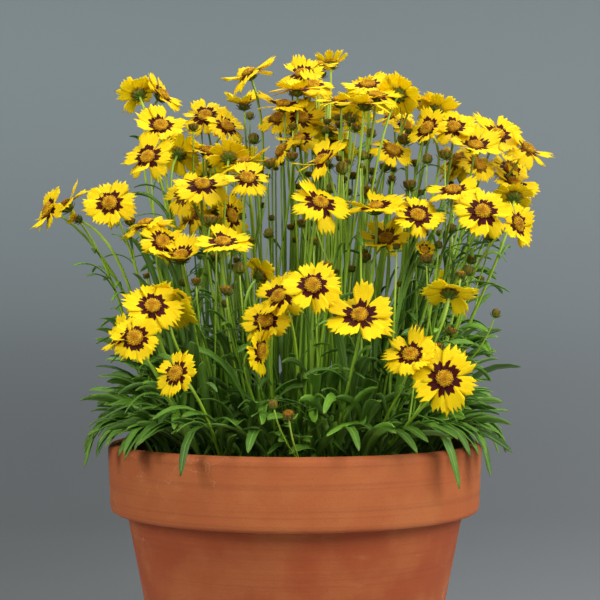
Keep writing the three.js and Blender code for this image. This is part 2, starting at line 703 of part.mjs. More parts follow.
const widerStems = makeStems(SEAT_GAP);
const widerGreens = [...makeLeaves(SEAT_GAP), ...makeBuds(SEAT_GAP)];
const widerBlooms = [];
let first = 0;
for (const [name, list] of sprays) {
  const spray = list.map((bloom, k) => {
    const otherStems = widerStems.filter((_, i) => i !== first + k);
    return cutClear(makeBloom(bloom, first + k, 0), [...otherStems, ...widerGreens, ...widerBlooms]);
  });
  addPiece(`bloom_${name}`, joined(spray), petalYellow);
  list.forEach((bloom, k) => widerBlooms.push(makeBloom(bloom, first + k, SEAT_GAP)));
  first += list.length;
}

export default group;
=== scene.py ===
"""Coreopsis in a terracotta pot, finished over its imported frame.

Growth is worked out in millimetres by the same rules as the solids, and every piece is made
in metres at the place of the solid that it stands for.
"""

import math
from functools import lru_cache

import bpy
import numpy as np
from bpy.props import FloatProperty, FloatVectorProperty, IntProperty, PointerProperty
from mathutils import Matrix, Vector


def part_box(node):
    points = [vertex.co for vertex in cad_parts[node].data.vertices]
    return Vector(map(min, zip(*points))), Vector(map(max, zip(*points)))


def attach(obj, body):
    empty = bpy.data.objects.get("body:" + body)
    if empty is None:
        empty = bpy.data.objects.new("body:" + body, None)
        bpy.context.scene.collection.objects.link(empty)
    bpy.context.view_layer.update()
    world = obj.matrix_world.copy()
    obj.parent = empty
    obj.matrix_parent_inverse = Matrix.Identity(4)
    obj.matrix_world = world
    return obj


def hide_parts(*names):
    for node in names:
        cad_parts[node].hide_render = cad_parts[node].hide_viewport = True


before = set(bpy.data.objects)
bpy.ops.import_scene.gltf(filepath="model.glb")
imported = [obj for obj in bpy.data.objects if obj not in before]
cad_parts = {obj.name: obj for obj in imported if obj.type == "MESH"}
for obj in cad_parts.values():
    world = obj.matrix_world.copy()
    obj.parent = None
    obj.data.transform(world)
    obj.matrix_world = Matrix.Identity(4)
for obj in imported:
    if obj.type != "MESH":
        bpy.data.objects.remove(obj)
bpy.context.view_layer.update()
pot_low, pot_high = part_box("pot")

bl_info = {
    "name": "Potted Coreopsis",
    "version": (1, 0, 0),
    "blender": (4, 5, 0),
    "location": "3D View > Sidebar > Coreopsis",
    "description": "Builds a flowering coreopsis in a rimmed terracotta pot",
    "category": "Object",
}

MM = 0.001

# ---- growth rules, in millimetres and degrees ---------------------------------------------

POT_HEIGHT = 270
RIM_RADIUS = 150
BAND_FOOT = 216
BAND_FOOT_RADIUS = 147.5
BODY_TOP_RADIUS = 135
BASE_RADIUS = 92
BASE_THICKNESS = 12
INNER_TOP_RADIUS = 138
INNER_BASE_RADIUS = 81
LIP_ROUND = 4
DRAIN_RADIUS = 7
DRAIN_CIRCLE_RADIUS = 45
DRAIN_HOLES = 3

SEAT_GAP = 0.3
SOIL_TOP = 246
CROWN_RADIUS = 116
CROWN_TOP = 251

STEM_STEPS = 3
SHORT_STEM = 150
ROOT_DEPTH = 6
ROOT_LEVEL = CROWN_TOP - ROOT_DEPTH
ROOT_SHARE = 0.56
ROOT_LIMIT = 106
STEM_CLEARANCE = 4
STEM_TRIES = 20
BRANCH_DROP = 62
CALYX_DEPTH = 5

LEAF_COUNT = 70
RIM_CLEARANCE = 8

DISC_RADIUS = 6
DISC_RISE = 4.2
SMALL_BLOOM = 30  # a bloom of a smaller diameter has a smaller disc and calyx
RAY_THICKNESS = 1.3
RAY_COUNT = 8
GOLDEN_ANGLE = 2.399963

SEED = 20

# Each bloom: x, y, z of its disc, lean and heading, diameter, and how far its rays are raised.
BLOOMS = {
    "far_left": [(-193, -37, 454, 72, 215, 40, 5), (-181, -28, 458, 45, 190, 46, 10)],
    "far_left_young": [(-172, -38, 447, 70, 190, 17, 50)],
    "left_face": [(-142, -60, 457, 72, 262, 43, 0)],
    "left_level": [
        (-114, -62, 441, 22, 225, 44, 3), (-100, -79, 426, 70, 300, 38, 0),
        (-85, -87, 415, 34, 262, 40, 24),
    ],
    "crest_left": [(-131, 34, 557, 50, 115, 38, 12), (-112, 40, 557, 50, 335, 40, 5)],
    "left_top": [(-107, -20, 522, 52, 275, 43, 0), (-115, -38, 495, 60, 250, 44, 0)],
    "left_back": [(-95, 10, 504, 58, 70, 40, 0), (-71, 4, 505, 28, 290, 38, 0)],
    "left_ridge": [(-75, 33, 538, 50, 262, 40, 0), (-57, 22, 528, 54, 315, 38, 0)],
    "left_inner": [(-71, -62, 471, 42, 280, 46, -10), (-84, -55, 465, 60, 240, 40, 0)],
    "crest_lone": [(-37, 0, 568, 28, 215, 47, 4)],
    "crest_young": [(-44, 62, 553, 10, 250, 40, 34)],
    "crest_cup": [(31, 84, 592, 10, 90, 32, 40)],
    "crest_trio": [
        (6, 32, 573, 36, 258, 40, 0), (14, 12, 560, 40, 285, 40, 0), (2, -12, 553, 14, 262, 46, 2),
        (19, 53, 584, 14, 262, 36, 5),
    ],
    "crest_mid": [(-9, -8, 541, 20, 262, 44, 4)],
    "mid_bunch": [
        (3, -8, 513, 30, 250, 40, 0), (-10, -27, 502, 55, 200, 34, -15), (28, 8, 523, 14, 0, 38, 5),
        (34, 33, 514, 45, 60, 42, 0), (5, 6, 533, 60, 285, 38, -12), (-14, 10, 533, 42, 258, 40, -10),
    ],
    "mid_tilt": [(21, -84, 487, 42, 222, 46, 8)],
    "mid_left": [(-53, -17, 498, 50, 90, 34, 0), (-40, -28, 492, 14, 185, 42, 0)],
    "mid_low": [(-36, -80, 474, 42, 285, 36, -5)],
    "right_crown": [
        (58, -3, 550, 40, 100, 40, 0), (58, -25, 554, 32, 262, 40, 0), (63, -51, 541, 22, 275, 42, 0),
        (82, -36, 545, 62, 70, 38, 0),
    ],
    "right_flat": [(35, -61, 536, 16, 250, 42, 5), (53, -86, 530, 14, 290, 44, 5)],
    "right_peak": [
        (96, -9, 547, 30, 318, 42, 5), (113, -22, 534, 58, 60, 36, 0), (113, -6, 544, 8, 0, 18, 50),
    ],
    "right_hidden": [(103, -56, 515, 62, 228, 36, 0)],
    "right_gap": [(82, 39, 540, 35, 250, 34, 0), (92, 26, 529, 58, 300, 28, 0)],
    "right_droop": [(76, -44, 500, 52, 300, 36, -12)],
    "right_front": [(124, -41, 518, 46, 262, 44, 5), (140, -52, 502, 32, 275, 44, 20)],
    "right_edge": [(162, -14, 516, 50, 288, 46, 5), (186, -18, 504, 46, 318, 42, 0)],
    "right_dull": [
        (130, -10, 496, 58, 235, 34, 0), (146, -21, 491, 56, 300, 34, 0), (128, -6, 489, 40, 205, 34, -10),
    ],
    "right_rim": [
        (176, -7, 478, 45, 305, 44, 5), (176, 9, 491, 58, 292, 36, 0), (174, -26, 466, 40, 80, 32, 0),
    ],
    "right_level": [(120, -78, 465, 27, 268, 42, 0)],
    "right_face": [(139, -102, 447, 64, 272, 44, 0)],
    "right_corner": [(167, -84, 439, 76, 318, 40, 0)],
    "left_dull": [
        (-84, -11, 452, 72, 235, 36, 0), (-61, -10, 454, 32, 90, 38, -10), (-51, -25, 450, 76, 325, 38, 0),
    ],
    "left_low": [(-53, -104, 424, 30, 280, 44, 5)],
    "mid_small": [(-25, -86, 401, 58, 30, 32, 0)],
    "mid_face": [(19, -106, 453, 46, 290, 46, 2)],
    "right_pair": [(61, -82, 452, 22, 250, 46, 4), (92, -89, 445, 50, 280, 43, 0)],
    "right_cup": [(70, -66, 429, 48, 250, 42, 28)],
    "right_young": [(98, -74, 420, 58, 290, 18, 35)],
    "front_face": [(13, -150, 391, 66, 272, 44, 0)],
    "front_run": [
        (-11, -110, 384, 58, 240, 42, 5), (-21, -117, 366, 54, 262, 38, -5),
        (-25, -132, 345, 96, 340, 36, 0),
    ],
    "front_big": [(46, -152, 370, 52, 262, 50, 5)],
    "front_left": [(-104, -109, 377, 56, 280, 45, 0), (-91, -92, 378, 60, 70, 44, 0)],
    "front_corner": [(-113, -142, 354, 68, 266, 37, 0), (-125, -128, 356, 64, 212, 34, 0)],
    "front_low": [(-82, -156, 329, 66, 232, 37, 2)],
    "front_right": [(113, -116, 388, 30, 82, 44, -8)],
    "front_duo": [(82, -147, 342, 50, 262, 40, 10), (105, -159, 326, 75, 262, 50, 0)],
    "back_face": [(15, 162, 397, 60, 85, 44, 0)],
    "back_low": [(62, 158, 373, 60, 70, 42, 0)],
    "back_left": [(-124, 105, 375, 58, 130, 42, 0)],
    "back_right": [(139, 115, 395, 58, 50, 42, 0)],
    "back_dome": [(-64, 150, 439, 50, 110, 44, 0)],
    "back_side": [(85, 150, 442, 52, 70, 44, 0)],
    "back_edge": [(160, 90, 461, 55, 40, 42, 0)],
    "back_high": [(-80, 112, 495, 45, 120, 44, 0)],
    "back_top": [(20, 108, 552, 35, 90, 44, 0), (50, 109, 549, 38, 70, 43, 0)],
    "back_mid": [(-44, 104, 505, 40, 100, 42, 0)],
    "back_wing": [(-152, 44, 464, 55, 160, 40, 0)],
}

# Each bud: x, y, z and diameter.
BUDS = [
    (-129, -40, 445, 8), (-82, -6, 524, 8), (-34, 12, 517, 11), (-38, 40, 540, 8), (19, 30, 541, 8),
    (-2, -44, 496, 9), (-20, -34, 491, 9), (36, -84, 482, 12), (28, -60, 469, 9), (11, -60, 471, 8),
    (87, -6, 541, 9), (61, -20, 517, 9), (48, -44, 518, 8), (87, -30, 511, 11), (101, -34, 509, 9),
    (52, -56, 495, 9), (54, -30, 486, 9), (72, -20, 490, 9), (103, -50, 493, 9), (116, -56, 496, 10),
    (57, -46, 468, 12), (67, -40, 463, 8), (90, -40, 474, 10), (55, -30, 457, 8), (-64, -72, 444, 11),
    (-20, -50, 435, 9), (6, -40, 444, 8), (54, -60, 416, 9), (99, -84, 414, 9), (91, -26, 436, 9),
    (120, -60, 438, 9), (150, -64, 432, 9), (-51, -90, 390, 9), (-41, -94, 406, 10), (137, -50, 415, 9),
    (132, -74, 405, 9), (146, -30, 399, 9), (156, -50, 373, 8), (116, -96, 360, 9), (105, -112, 348, 8),
    (90, -110, 360, 8), (-15, -150, 308, 8), (-4, -156, 301, 8),
]

# Blooms past their best: how far each is gone, by bunch and place in it.
DULL_BLOOMS = {
    ("mid_bunch", 5): 0.15, ("mid_bunch", 4): 0.1, ("mid_bunch", 1): 0.3, ("right_dull", 0): 0.4,
    ("right_dull", 1): 0.3, ("right_dull", 2): 0.55, ("left_dull", 1): 0.5, ("left_dull", 0): 0.25,
    ("left_inner", 1): 0.2, ("right_droop", 0): 0.2, ("right_cup", 0): 0.2, ("mid_left", 0): 0.2,
    ("right_rim", 2): 0.25, ("right_edge", 1): 0.15, ("back_low", 0): 0.5, ("back_mid", 0): 0.4,
}

# Leaves that hang over the lip: heading, height of the tip and width.
HANGING_LEAVES = [
    (240, 257, 8), (312, 245, 9), (334, 250, 9), (189, 252, 8), (205, 264, 8), (352, 262, 8),
    (28, 248, 9), (66, 258, 8), (98, 246, 9), (137, 252, 9), (165, 262, 8), (172, 272, 9),
    (181, 266, 10), (197, 270, 9), (213, 273, 8), (221, 268, 9), (229, 272, 8), (258, 275, 8),
    (287, 276, 7), (300, 273, 8), (322, 268, 9), (344, 272, 9), (358, 262, 9), (8, 270, 9), (18, 266, 8),
]

# Arcs of the lip over which leaves spill closely: two headings each.
SPILLING_ARCS = [(164, 232), (306, 376)]

# Leaves that fill the clump: count, then ranges of the root's distance out, reach, rise and width,
# then the lightest tone and how much they thin out towards the front.
FILLING_LEAVES = {
    "edge_leaves": (190, (80, 110), (30, 76), (22, 88), (5.5, 9.5), 1.0, 0.6),
    "side_leaves": (330, (90, 110), (38, 84), (40, 120), (6, 10.5), 1.0, 1.3),
    "inner_leaves": (200, (0, 104), (18, 58), (20, 84), (4, 7), 0.9, 0.4),
    "shoots": (150, (0, 110), (8, 30), (14, 44), (3.5, 6.5), 0.8, 0.3),
    "lip_leaves": (110, (100, 110), (30, 56), (24, 44), (6.5, 10.5), 0.9, 1.2),
    "tall_leaves": (170, (84, 108), (20, 52), (90, 196), (3.6, 7), 0.9, 1.2),
}

# Leaves on the stems: count, then ranges of the place along the stem, length and width.
STEM_LEAVES = {
    "low_stem_leaves": (340, (0.04, 0.34), (36, 70), (4.5, 8.5)),
    "high_stem_leaves": (340, (0.3, 0.72), (26, 52), (2.4, 4.4)),
}

SPILLS = 16  # leaves on each spilling arc
SPENT_STEMS = 124
OUTER_ROOTS = 62  # stems rooted farther out than this bear most of the low leaves
TIP_LEVEL = 280  # leaf tips out over the lip end no lower than this
TIP_REACH = 188  # and no farther out than this

# The low mound that the shoots stand in: radius and height.
CROWN_PROFILE = [
    (1, 238), (CROWN_RADIUS - 1, 240), (CROWN_RADIUS - 1, 246), (112, 248.5), (104, 250), (88, 251),
    (66, 251), (44, 251), (22, 251), (1, 251),
]
SOIL_RINGS = (0.985, 0.96, 0.93, 0.9, 0.86, 0.82, 0.6, 0.3, 0.01)  # shares of the soil's radius
CROWN_SIDES = 96
CROWN_UNEVENNESS = 4
SOIL_SIDES = 120
SOIL_UNEVENNESS = 4.5
DRILL_SIDES = 40
STEM_SIDES = 7
THIN_STEM_SIDES = 6
LEAF_THICKNESS = 0.45

# The stage, in metres: each light's place, the height that it is aimed at and its size.
LIGHTS = {
    "key": ((1.4, -1.55, 1.7), 0.38, 1.2),
    "fill": ((-1.5, -1.2, 1.3), 0.35, 0.9),
    "side": ((1.8, -0.7, 1.15), 0.3, 0.8),
    "top": ((0.1, 0.3, 2.2), 0.4, 1.4),
}
CAMERA_PLACE = (0.0041, -1.15, 0.362)
CAMERA_PITCH = 91.09
SENSOR_WIDTH = 36
WALL_RADIUS = 3.2
WALL_BEND = 1.6
WALL_TOP = 3.4
FLOOR_SIDES = 96

# Where each kind of random stream starts.
STREAMS = {
    "stem": 0, "soil": 300, "tubes": 400, "filling": 501, "hanging": 503, "dressing": 504, "crown": 505,
    "leaf_route": 1000, "leaf_form": 3000, "rays": 5000, "spent": 6000, "disc": 7000, "calyx": 8000,
    "head": 8500, "tone": 9000,
}


def random_source(seed):
    """A repeatable stream of numbers from 0 to 1."""
    state = seed & 0xFFFFFFFF

    def draw():
        nonlocal state
        state = (state + 0x6D2B79F5) & 0xFFFFFFFF
        mixed = ((state ^ (state >> 15)) * (1 | state)) & 0xFFFFFFFF
        mixed = (mixed + (((mixed ^ (mixed >> 7)) * (61 | mixed)) & 0xFFFFFFFF) & 0xFFFFFFFF) ^ mixed
        return ((mixed ^ (mixed >> 14)) & 0xFFFFFFFF) / 4294967296

    return draw


def stream(kind, index=0):
    """The random numbers of one part of a kind."""
    return random_source(SEED + STREAMS[kind] + index)


def mix(a, b, share):
    return a + (b - a) * share


def sway(draw, size):
    """A random step of up to half a size to either side."""
    return size * (draw() - 0.5)


def polar(distance, angle, height):
    """A point at a distance and an angle about the pot's axis."""
    return np.array([distance * math.cos(angle), distance * math.sin(angle), height])


def circle(sides):
    """The angles of a ring's points."""
    return np.linspace(0, 2 * math.pi, sides, endpoint=False)


def unit(vectors):
    """Vectors along the last axis, made one long."""
    length = np.linalg.norm(vectors, axis=-1, keepdims=True)
    return vectors / np.maximum(length, 1e-9)


def bezier(controls, at):
    """Points of a quadratic or cubic curve at an array of places from 0 to 1."""
    points = np.asarray(controls, float)
    at = np.atleast_1d(at)[:, None]
    rest = 1 - at
    if len(points) == 3:
        weights = [rest * rest, 2 * rest * at, at * at]
    else:
        weights = [rest**3, 3 * rest * rest * at, 3 * rest * at * at, at**3]
    return sum(weight * point for weight, point in zip(weights, points))


def tangents(path):
    return unit(np.gradient(path, axis=0))


def curve_length(controls):
    path = bezier(controls, np.linspace(0, 1, 201))
    return float(np.linalg.norm(np.diff(path, axis=0), axis=1).sum())


def short_of_end(curve, gap, stations):
    """Places from 0 to 1, and the midline at them, which ends a gap before the curve does."""
    place = np.linspace(0, 1, stations)
    return place, bezier(curve, place * (1 - gap / curve_length(curve)))


# ---- where stems, branches and leaves run ----------------------------------------------------

BLOOM_ROWS = [row for rows in BLOOMS.values() for row in rows]


def bloom_axes(bloom):
    """A bloom's own axes: the way it faces, and the two directions that its rays span."""
    tilt, turn = math.radians(bloom[3]), math.radians(bloom[4])
    axis = polar(math.sin(tilt), turn, math.cos(tilt))
    side = np.array([-math.sin(turn), math.cos(turn), 0.0])
    return axis, side, np.cross(axis, side)


def bloom_scale(bloom):
    """The size of a bloom's disc and calyx, against a full-grown one."""
    return min(1, bloom[5] / SMALL_BLOOM)


def bloom_centre(bloom):
    return np.array(bloom[:3], float)


def distance_to_blooms(points, blooms):
    """The least distance from points to blooms, each taken as a plate with raised rays."""
    centres = np.array([bloom[:3] for bloom in blooms], float)
    axes = np.array([bloom_axes(bloom)[0] for bloom in blooms])
    half = np.array([bloom[5] / 2 for bloom in blooms])
    raised = np.tan(np.radians([bloom[6] for bloom in blooms]))
    offset = points[:, None, :] - centres[None]
    height = (offset * axes[None]).sum(-1)
    spread = np.sqrt(np.maximum((offset**2).sum(-1) - height**2, 0))
    lift = np.maximum(spread - DISC_RADIUS, 0) * raised
    return float(np.hypot(height - lift, np.maximum(spread - half, 0)).min())


def stem_curve(bloom, draw, stray):
    """A midline for the stem: out of the crown, up, and over into the back of its bloom."""
    x, y, z = bloom[:3]
    axis = bloom_axes(bloom)[0]
    reach = math.hypot(x, y)
    out = min(reach * ROOT_SHARE, ROOT_LIMIT) / reach
    root = np.array([x * out + sway(draw, stray), y * out + sway(draw, stray), 0.0])
    distance = np.linalg.norm(root)
    if distance > ROOT_LIMIT:
        root *= ROOT_LIMIT / distance
    root[2] = ROOT_LEVEL
    seat = np.array([x, y, z], float) - SEAT_GAP * axis
    rise = seat[2] - root[2]
    neck = seat - (0.22 * rise + 8) * axis
    waist = mix(root, seat, 0.3)
    waist[:2] += [sway(draw, 0.6 * stray), sway(draw, 0.6 * stray)]
    waist[2] = root[2] + 0.45 * rise
    return [root, waist, neck, seat]


def clear_stem(index):
    """The first of a few midlines that passes clear of every other bloom, or the clearest."""
    bloom = BLOOM_ROWS[index]
    others = BLOOM_ROWS[:index] + BLOOM_ROWS[index + 1:]
    draw = stream("stem", index)
    samples = np.arange(6, 20) / 20
    best, widest = None, -1.0
    for attempt in range(STEM_TRIES):
        if widest >= STEM_CLEARANCE:
            break
        curve = stem_curve(bloom, draw, 12 + 4 * attempt)
        nearest = min(STEM_CLEARANCE, distance_to_blooms(bezier(curve, samples), others))
        if nearest > widest:
            best, widest = curve, nearest
    return best


def closest_on_path(path, point):
    """The point of a path of straight stretches that lies nearest to a point."""
    start, stretch = path[:-1], np.diff(path, axis=0)
    share = ((point - start) * stretch).sum(1) / np.maximum((stretch**2).sum(1), 1e-9)
    places = start + np.clip(share, 0, 1)[:, None] * stretch
    return places[np.linalg.norm(places - point, axis=1).argmin()]


def branch_curve(bud, stems):
    """The midline of a bud's branch, out of the stem that passes nearest below the bud."""
    x, y, z = bud[:3]
    fork = np.array([0.95 * x, 0.95 * y, z - BRANCH_DROP])
    start, parent, nearest = None, None, math.inf
    for curve in stems:
        length = curve_length(curve)
        steps = STEM_STEPS - 1 if length < SHORT_STEM else STEM_STEPS
        stations = np.arange(steps + 1) / steps * (1 - CALYX_DEPTH / length)
        place = closest_on_path(bezier(curve, stations), fork)
        distance = np.linalg.norm(place - fork)
        if distance < nearest:
            start, parent, nearest = place, curve, distance
    start = closest_on_path(bezier(parent, np.linspace(0, 1, 60)), start)
    end = np.array([x, y, z], float)
    bend = mix(start, end, 0.75)
    bend[2] = mix(start[2], z, 0.35)
    return [start, bend, end]


def spent_stem(index):
    """A stem whose head has shed its rays: its midline, which ends below the blooms, and head size."""
    draw = stream("spent", index)
    while True:
        bloom = BLOOM_ROWS[int(draw() * len(BLOOM_ROWS))]
        drop = mix(10, 84, draw() ** 1.4)
        inward = mix(0.5, 0.96, draw())
        end = np.array([bloom[0] * inward, bloom[1] * inward, bloom[2] - drop])
        end[:2] += [sway(draw, 16), sway(draw, 16)]
        if end[2] > 380 and abs(end[0]) < 132:
            break
    out = min(mix(0.55, 1.1, draw()), ROOT_LIMIT / max(math.hypot(end[0], end[1]), 1))
    root = np.array([end[0] * out + sway(draw, 26), end[1] * out + sway(draw, 26), 0.0])
    root *= min(1, ROOT_LIMIT / max(np.linalg.norm(root), 1))
    root[2] = ROOT_LEVEL
    waist = mix(root, end, 0.3)
    waist[:2] += [sway(draw, 10), sway(draw, 10)]
    waist[2] = mix(root[2], end[2], 0.45)
    neck = mix(root, end, 0.92)
    neck[2] = mix(root[2], end[2], 0.75)
    return [root, waist, neck, end], mix(4.6, 7.2, draw())


def over_the_lip(root, bend, tip):
    """The leaf curve with its bend raised until it passes well above the pot's lip."""
    lowest = 0
    while lowest < POT_HEIGHT + RIM_CLEARANCE:
        bend[2] += 6
        path = bezier([root, bend, tip], np.arange(20) / 20)
        radius = np.hypot(path[:, 0], path[:, 1])
        over = (radius > INNER_TOP_RADIUS - 6) & (radius < RIM_RADIUS + 5)
        lowest = path[over, 2].min() if over.any() else 1000
    return [root, bend, tip]


def clear_of_lip(root, bend, tip, draw):
    """The leaf curve kept above the pot's lip, with its tip raised where it ends out there."""
    distance = math.hypot(tip[0], tip[1])
    farthest = TIP_REACH - 34 * draw()
    if distance > farthest:
        tip[:2] *= farthest / distance
    if distance > INNER_TOP_RADIUS - 12:
        tip[2] = max(tip[2], TIP_LEVEL + 16 * draw())
    return over_the_lip(root, bend, tip)


def leaf_curve(index):
    """The midline of a large leaf: up from the crown and arching outwards."""
    draw = stream("leaf_route", index)
    share = (index + 0.5) / LEAF_COUNT
    out = (CROWN_RADIUS - 8) * math.sqrt(share)
    angle = index * GOLDEN_ANGLE + sway(draw, 0.5)
    heading = angle + sway(draw, 0.9)
    reach = mix(34, 66, share) * mix(0.75, 1.25, draw())
    tip_height = mix(112, 40, share) + sway(draw, 50)
    root = polar(out, angle, ROOT_LEVEL)
    tip = root + polar(reach, heading, tip_height)
    bend = mix(root, tip, 0.36)
    bend[2] = root[2] + max(tip_height, 30) * 0.7 + 22
    return over_the_lip(root, bend, tip)


def filling_leaf_curve(index, count, draw, spread, reach, height):
    """The midline of one of many leaves that fill the clump between the large ones."""
    share = (index + 0.5) / count
    out = math.sqrt(mix(spread[0] ** 2, spread[1] ** 2, share))
    angle = index * GOLDEN_ANGLE + 1.1 + sway(draw, 0.7)
    heading = angle + sway(draw, 2.0)
    length = mix(*reach, draw())
    rise = mix(height[1], height[0], share) * mix(0.6, 1.3, draw())
    root = polar(out, angle, ROOT_LEVEL)
    tip = root + polar(length, heading, rise)
    bend = mix(root, tip, 0.35)
    bend[2] = root[2] + max(rise, 20) * 0.8 + 16
    return clear_of_lip(root, bend, tip, draw)


def stem_leaf_curve(curve, place, draw, length):
    """The midline of a leaf that grows out of a stem, up and outwards."""
    root = bezier(curve, place)[0]
    heading = math.atan2(root[1], root[0]) + sway(draw, 3.2)
    rise = length * mix(-0.12, 0.75, draw())
    flat = math.sqrt(max(length * length - rise * rise, 1)) * 0.92
    tip = root + polar(flat, heading, rise)
    bend = mix(root, tip, 0.42)
    bend[2] += length * mix(0.16, 0.34, draw())
    return clear_of_lip(root, bend, tip, draw)


def hanging_leaf_path(heading, tip_height, draw):
    """A leaf that rises out of the clump, bends over the lip and hangs beside the band."""
    turn = math.radians(heading)
    steer = sway(draw, 0.16)
    shoulder = 287 + 5 * draw()
    stops = [(98, 246), (112, 272), (128, shoulder), (146, shoulder + 2), (158, shoulder - 4)]
    stops += [(165, mix(shoulder - 4, tip_height, 0.5)), (169, tip_height)]
    stops = np.array(stops, float)
    places = np.concatenate([[0], np.cumsum(np.linalg.norm(np.diff(stops, axis=0), axis=1))])
    radius, height = (np.interp(LEAF_ROWS, places / places[-1], column) for column in stops.T)
    for line in (radius, height):
        line[1:-1] = (line[:-2] + 2 * line[1:-1] + line[2:]) / 4
    angle = turn + steer * LEAF_ROWS
    return np.stack([radius * np.cos(angle), radius * np.sin(angle), height], -1)


LEAF_ROWS = np.array([0, 0.08, 0.18, 0.3, 0.43, 0.56, 0.69, 0.81, 0.91, 0.97, 1])
WIDE_LEAF = 7.6  # leaves narrower than this are only a rib and two edges across
LEAF_COLUMNS = np.array([-1, -0.5, 0, 0.5, 1])
NARROW_COLUMNS = LEAF_COLUMNS[::2]
LEAF_OUTLINE = (
    [0, 0.15, 0.3, 0.45, 0.6, 0.74, 0.86, 0.95, 1],
    [0.24, 0.26, 0.46, 0.78, 1, 0.92, 0.6, 0.26, 0.03],
)


# ---- mesh making --------------------------------------------------------------------------------


class Shape:
    """Points, faces and per-point values of one piece, gathered body by body."""

    def __init__(self):
        self.points = []
        self.faces = {3: [], 4: []}
        self.values = {}
        self.size = 0

    def add(self, points, quads=None, tris=None, **values):
        """Adds a closed body, with its faces turned outwards."""
        points = np.asarray(points, float).reshape(-1, 3)
        groups = [(4, quads), (3, tris)]
        volume = 0.0
        middle = points.mean(0)
        for _, faces in groups:
            if faces is not None:
                corners = points[faces] - middle
                for k in range(1, corners.shape[1] - 1):
                    normal = np.cross(corners[:, k], corners[:, k + 1])
                    volume += float((corners[:, 0] * normal).sum())
        for sides, faces in groups:
            if faces is not None:
                turned = faces if volume >= 0 else faces[:, ::-1]
                self.faces[sides].append(turned + self.size)
        self.points.append(points)
        for name in set(values) | set(self.values):
            spread = np.broadcast_to(np.asarray(values.get(name, 0), float).ravel(), (len(points),))
            self.values.setdefault(name, [np.zeros(self.size)]).append(spread)
        self.size += len(points)


@lru_cache(maxsize=None)
def grid_quads(rows, columns, wrap=False):
    """Quads of a grid of points; wrap joins the last column to the first."""
    across = np.arange(columns if wrap else columns - 1)
    row, column = np.meshgrid(np.arange(rows - 1), across, indexing="ij")
    a = row * columns + column
    b = row * columns + (column + 1) % columns
    return np.stack([a, b, b + columns, a + columns], -1).reshape(-1, 4)


@lru_cache(maxsize=None)
def blade_quads(rows, columns):
    """Quads of a closed thin blade: an upper grid, a lower one and the rim between them."""
    upper = grid_quads(rows, columns)
    count = rows * columns
    index = np.arange(count).reshape(rows, columns)
    ring = np.concatenate([index[0, :-1], index[:-1, -1], index[-1, :0:-1], index[:0:-1, 0]])
    following = np.roll(ring, -1)
    rim = np.stack([following, ring, ring + count, following + count], -1)
    return np.concatenate([upper, upper[:, ::-1] + count, rim])


def add_blade(shape, grid, thickness, **values):
    """Adds a thin closed blade below a grid of points; values are given for the upper grid."""
    rows, columns = grid.shape[:2]
    normal = unit(np.cross(np.gradient(grid, axis=1), np.gradient(grid, axis=0)))
    lower = grid - normal * np.broadcast_to(thickness, (rows, columns))[..., None]
    points = np.concatenate([grid.reshape(-1, 3), lower.reshape(-1, 3)])
    doubled = {}
    for name, value in values.items():
        spread = np.broadcast_to(value, (rows, columns)).ravel()
        doubled[name] = np.concatenate([spread, spread])
    upper = np.repeat([1.0, 0.0], rows * columns)
    shape.add(points, quads=blade_quads(rows, columns), upper=upper, **doubled)


def add_rings(shape, rings, **values):
    """Adds a closed body through rings of points, with a point in the middle of each end."""
    count, sides = rings.shape[:2]
    ends = np.stack([rings[0].mean(0), rings[-1].mean(0)])
    points = np.concatenate([rings.reshape(-1, 3), ends])
    first = np.arange(sides)
    following = (first + 1) % sides
    last = first + (count - 1) * sides
    foot = np.stack([np.full(sides, count * sides), following, first], -1)
    head = np.stack([np.full(sides, count * sides + 1), last, last[0] + following], -1)
    ringed = {}
    for name, value in values.items():
        spread = np.broadcast_to(np.asarray(value, float).reshape(-1, 1), (count, sides)).ravel()
        ringed[name] = np.concatenate([spread, spread[:1], spread[-1:]])
    quads = grid_quads(count, sides, True)
    shape.add(points, quads=quads, tris=np.concatenate([foot, head]), **ringed)


def add_tube(shape, path, radii, sides=8, **values):
    """Adds a round stem of changing radius along a path."""
    along = tangents(path)
    across = unit(np.cross(np.array([1.0, 0.0, 0.0]), along))
    second = np.cross(along, across)
    angle = circle(sides)[None, :, None]
    round_about = np.cos(angle) * across[:, None] + np.sin(angle) * second[:, None]
    radii = np.broadcast_to(radii, (len(path),))
    add_rings(shape, path[:, None] + radii[:, None, None] * round_about, **values)


def add_turned(shape, centre, axes, profile, sides, ridges=0.0, **values):
    """Adds a turned body about a bloom's axis; the profile lists radius and height."""
    axis, side, up = axes
    profile = np.asarray(profile, float)
    angle = circle(sides)
    swell = 1 + ridges * np.cos(8 * angle)
    radius = profile[:, :1] * swell[None]
    rings = (
        centre
        + profile[:, 1][:, None, None] * axis
        + (radius * np.cos(angle))[..., None] * side
        + (radius * np.sin(angle))[..., None] * up
    )
    add_rings(shape, rings, **values)


def turned_grid(radius, height, sides):
    """Rings of points about the pot's axis; radius and height have a row for each ring."""
    angle = circle(sides)
    parts = np.broadcast_arrays(radius * np.cos(angle), radius * np.sin(angle), height)
    return np.stack(parts, -1)


def add_mound(shape, profile, sides, depth, draw, **values):
    """Adds a turned body about the pot's axis that is uneven on top, from its fourth ring on."""
    profile = np.array(profile, float)
    height = profile[:, 1:].repeat(sides, 1)
    rough = np.array([[draw() for _ in range(sides)] for _ in height[3:-1]])
    rough = (rough + np.roll(rough, 1, 1)) / 2
    height[3:-1] += depth * (rough - 0.6)
    add_rings(shape, turned_grid(profile[:, :1], height, sides), **values)


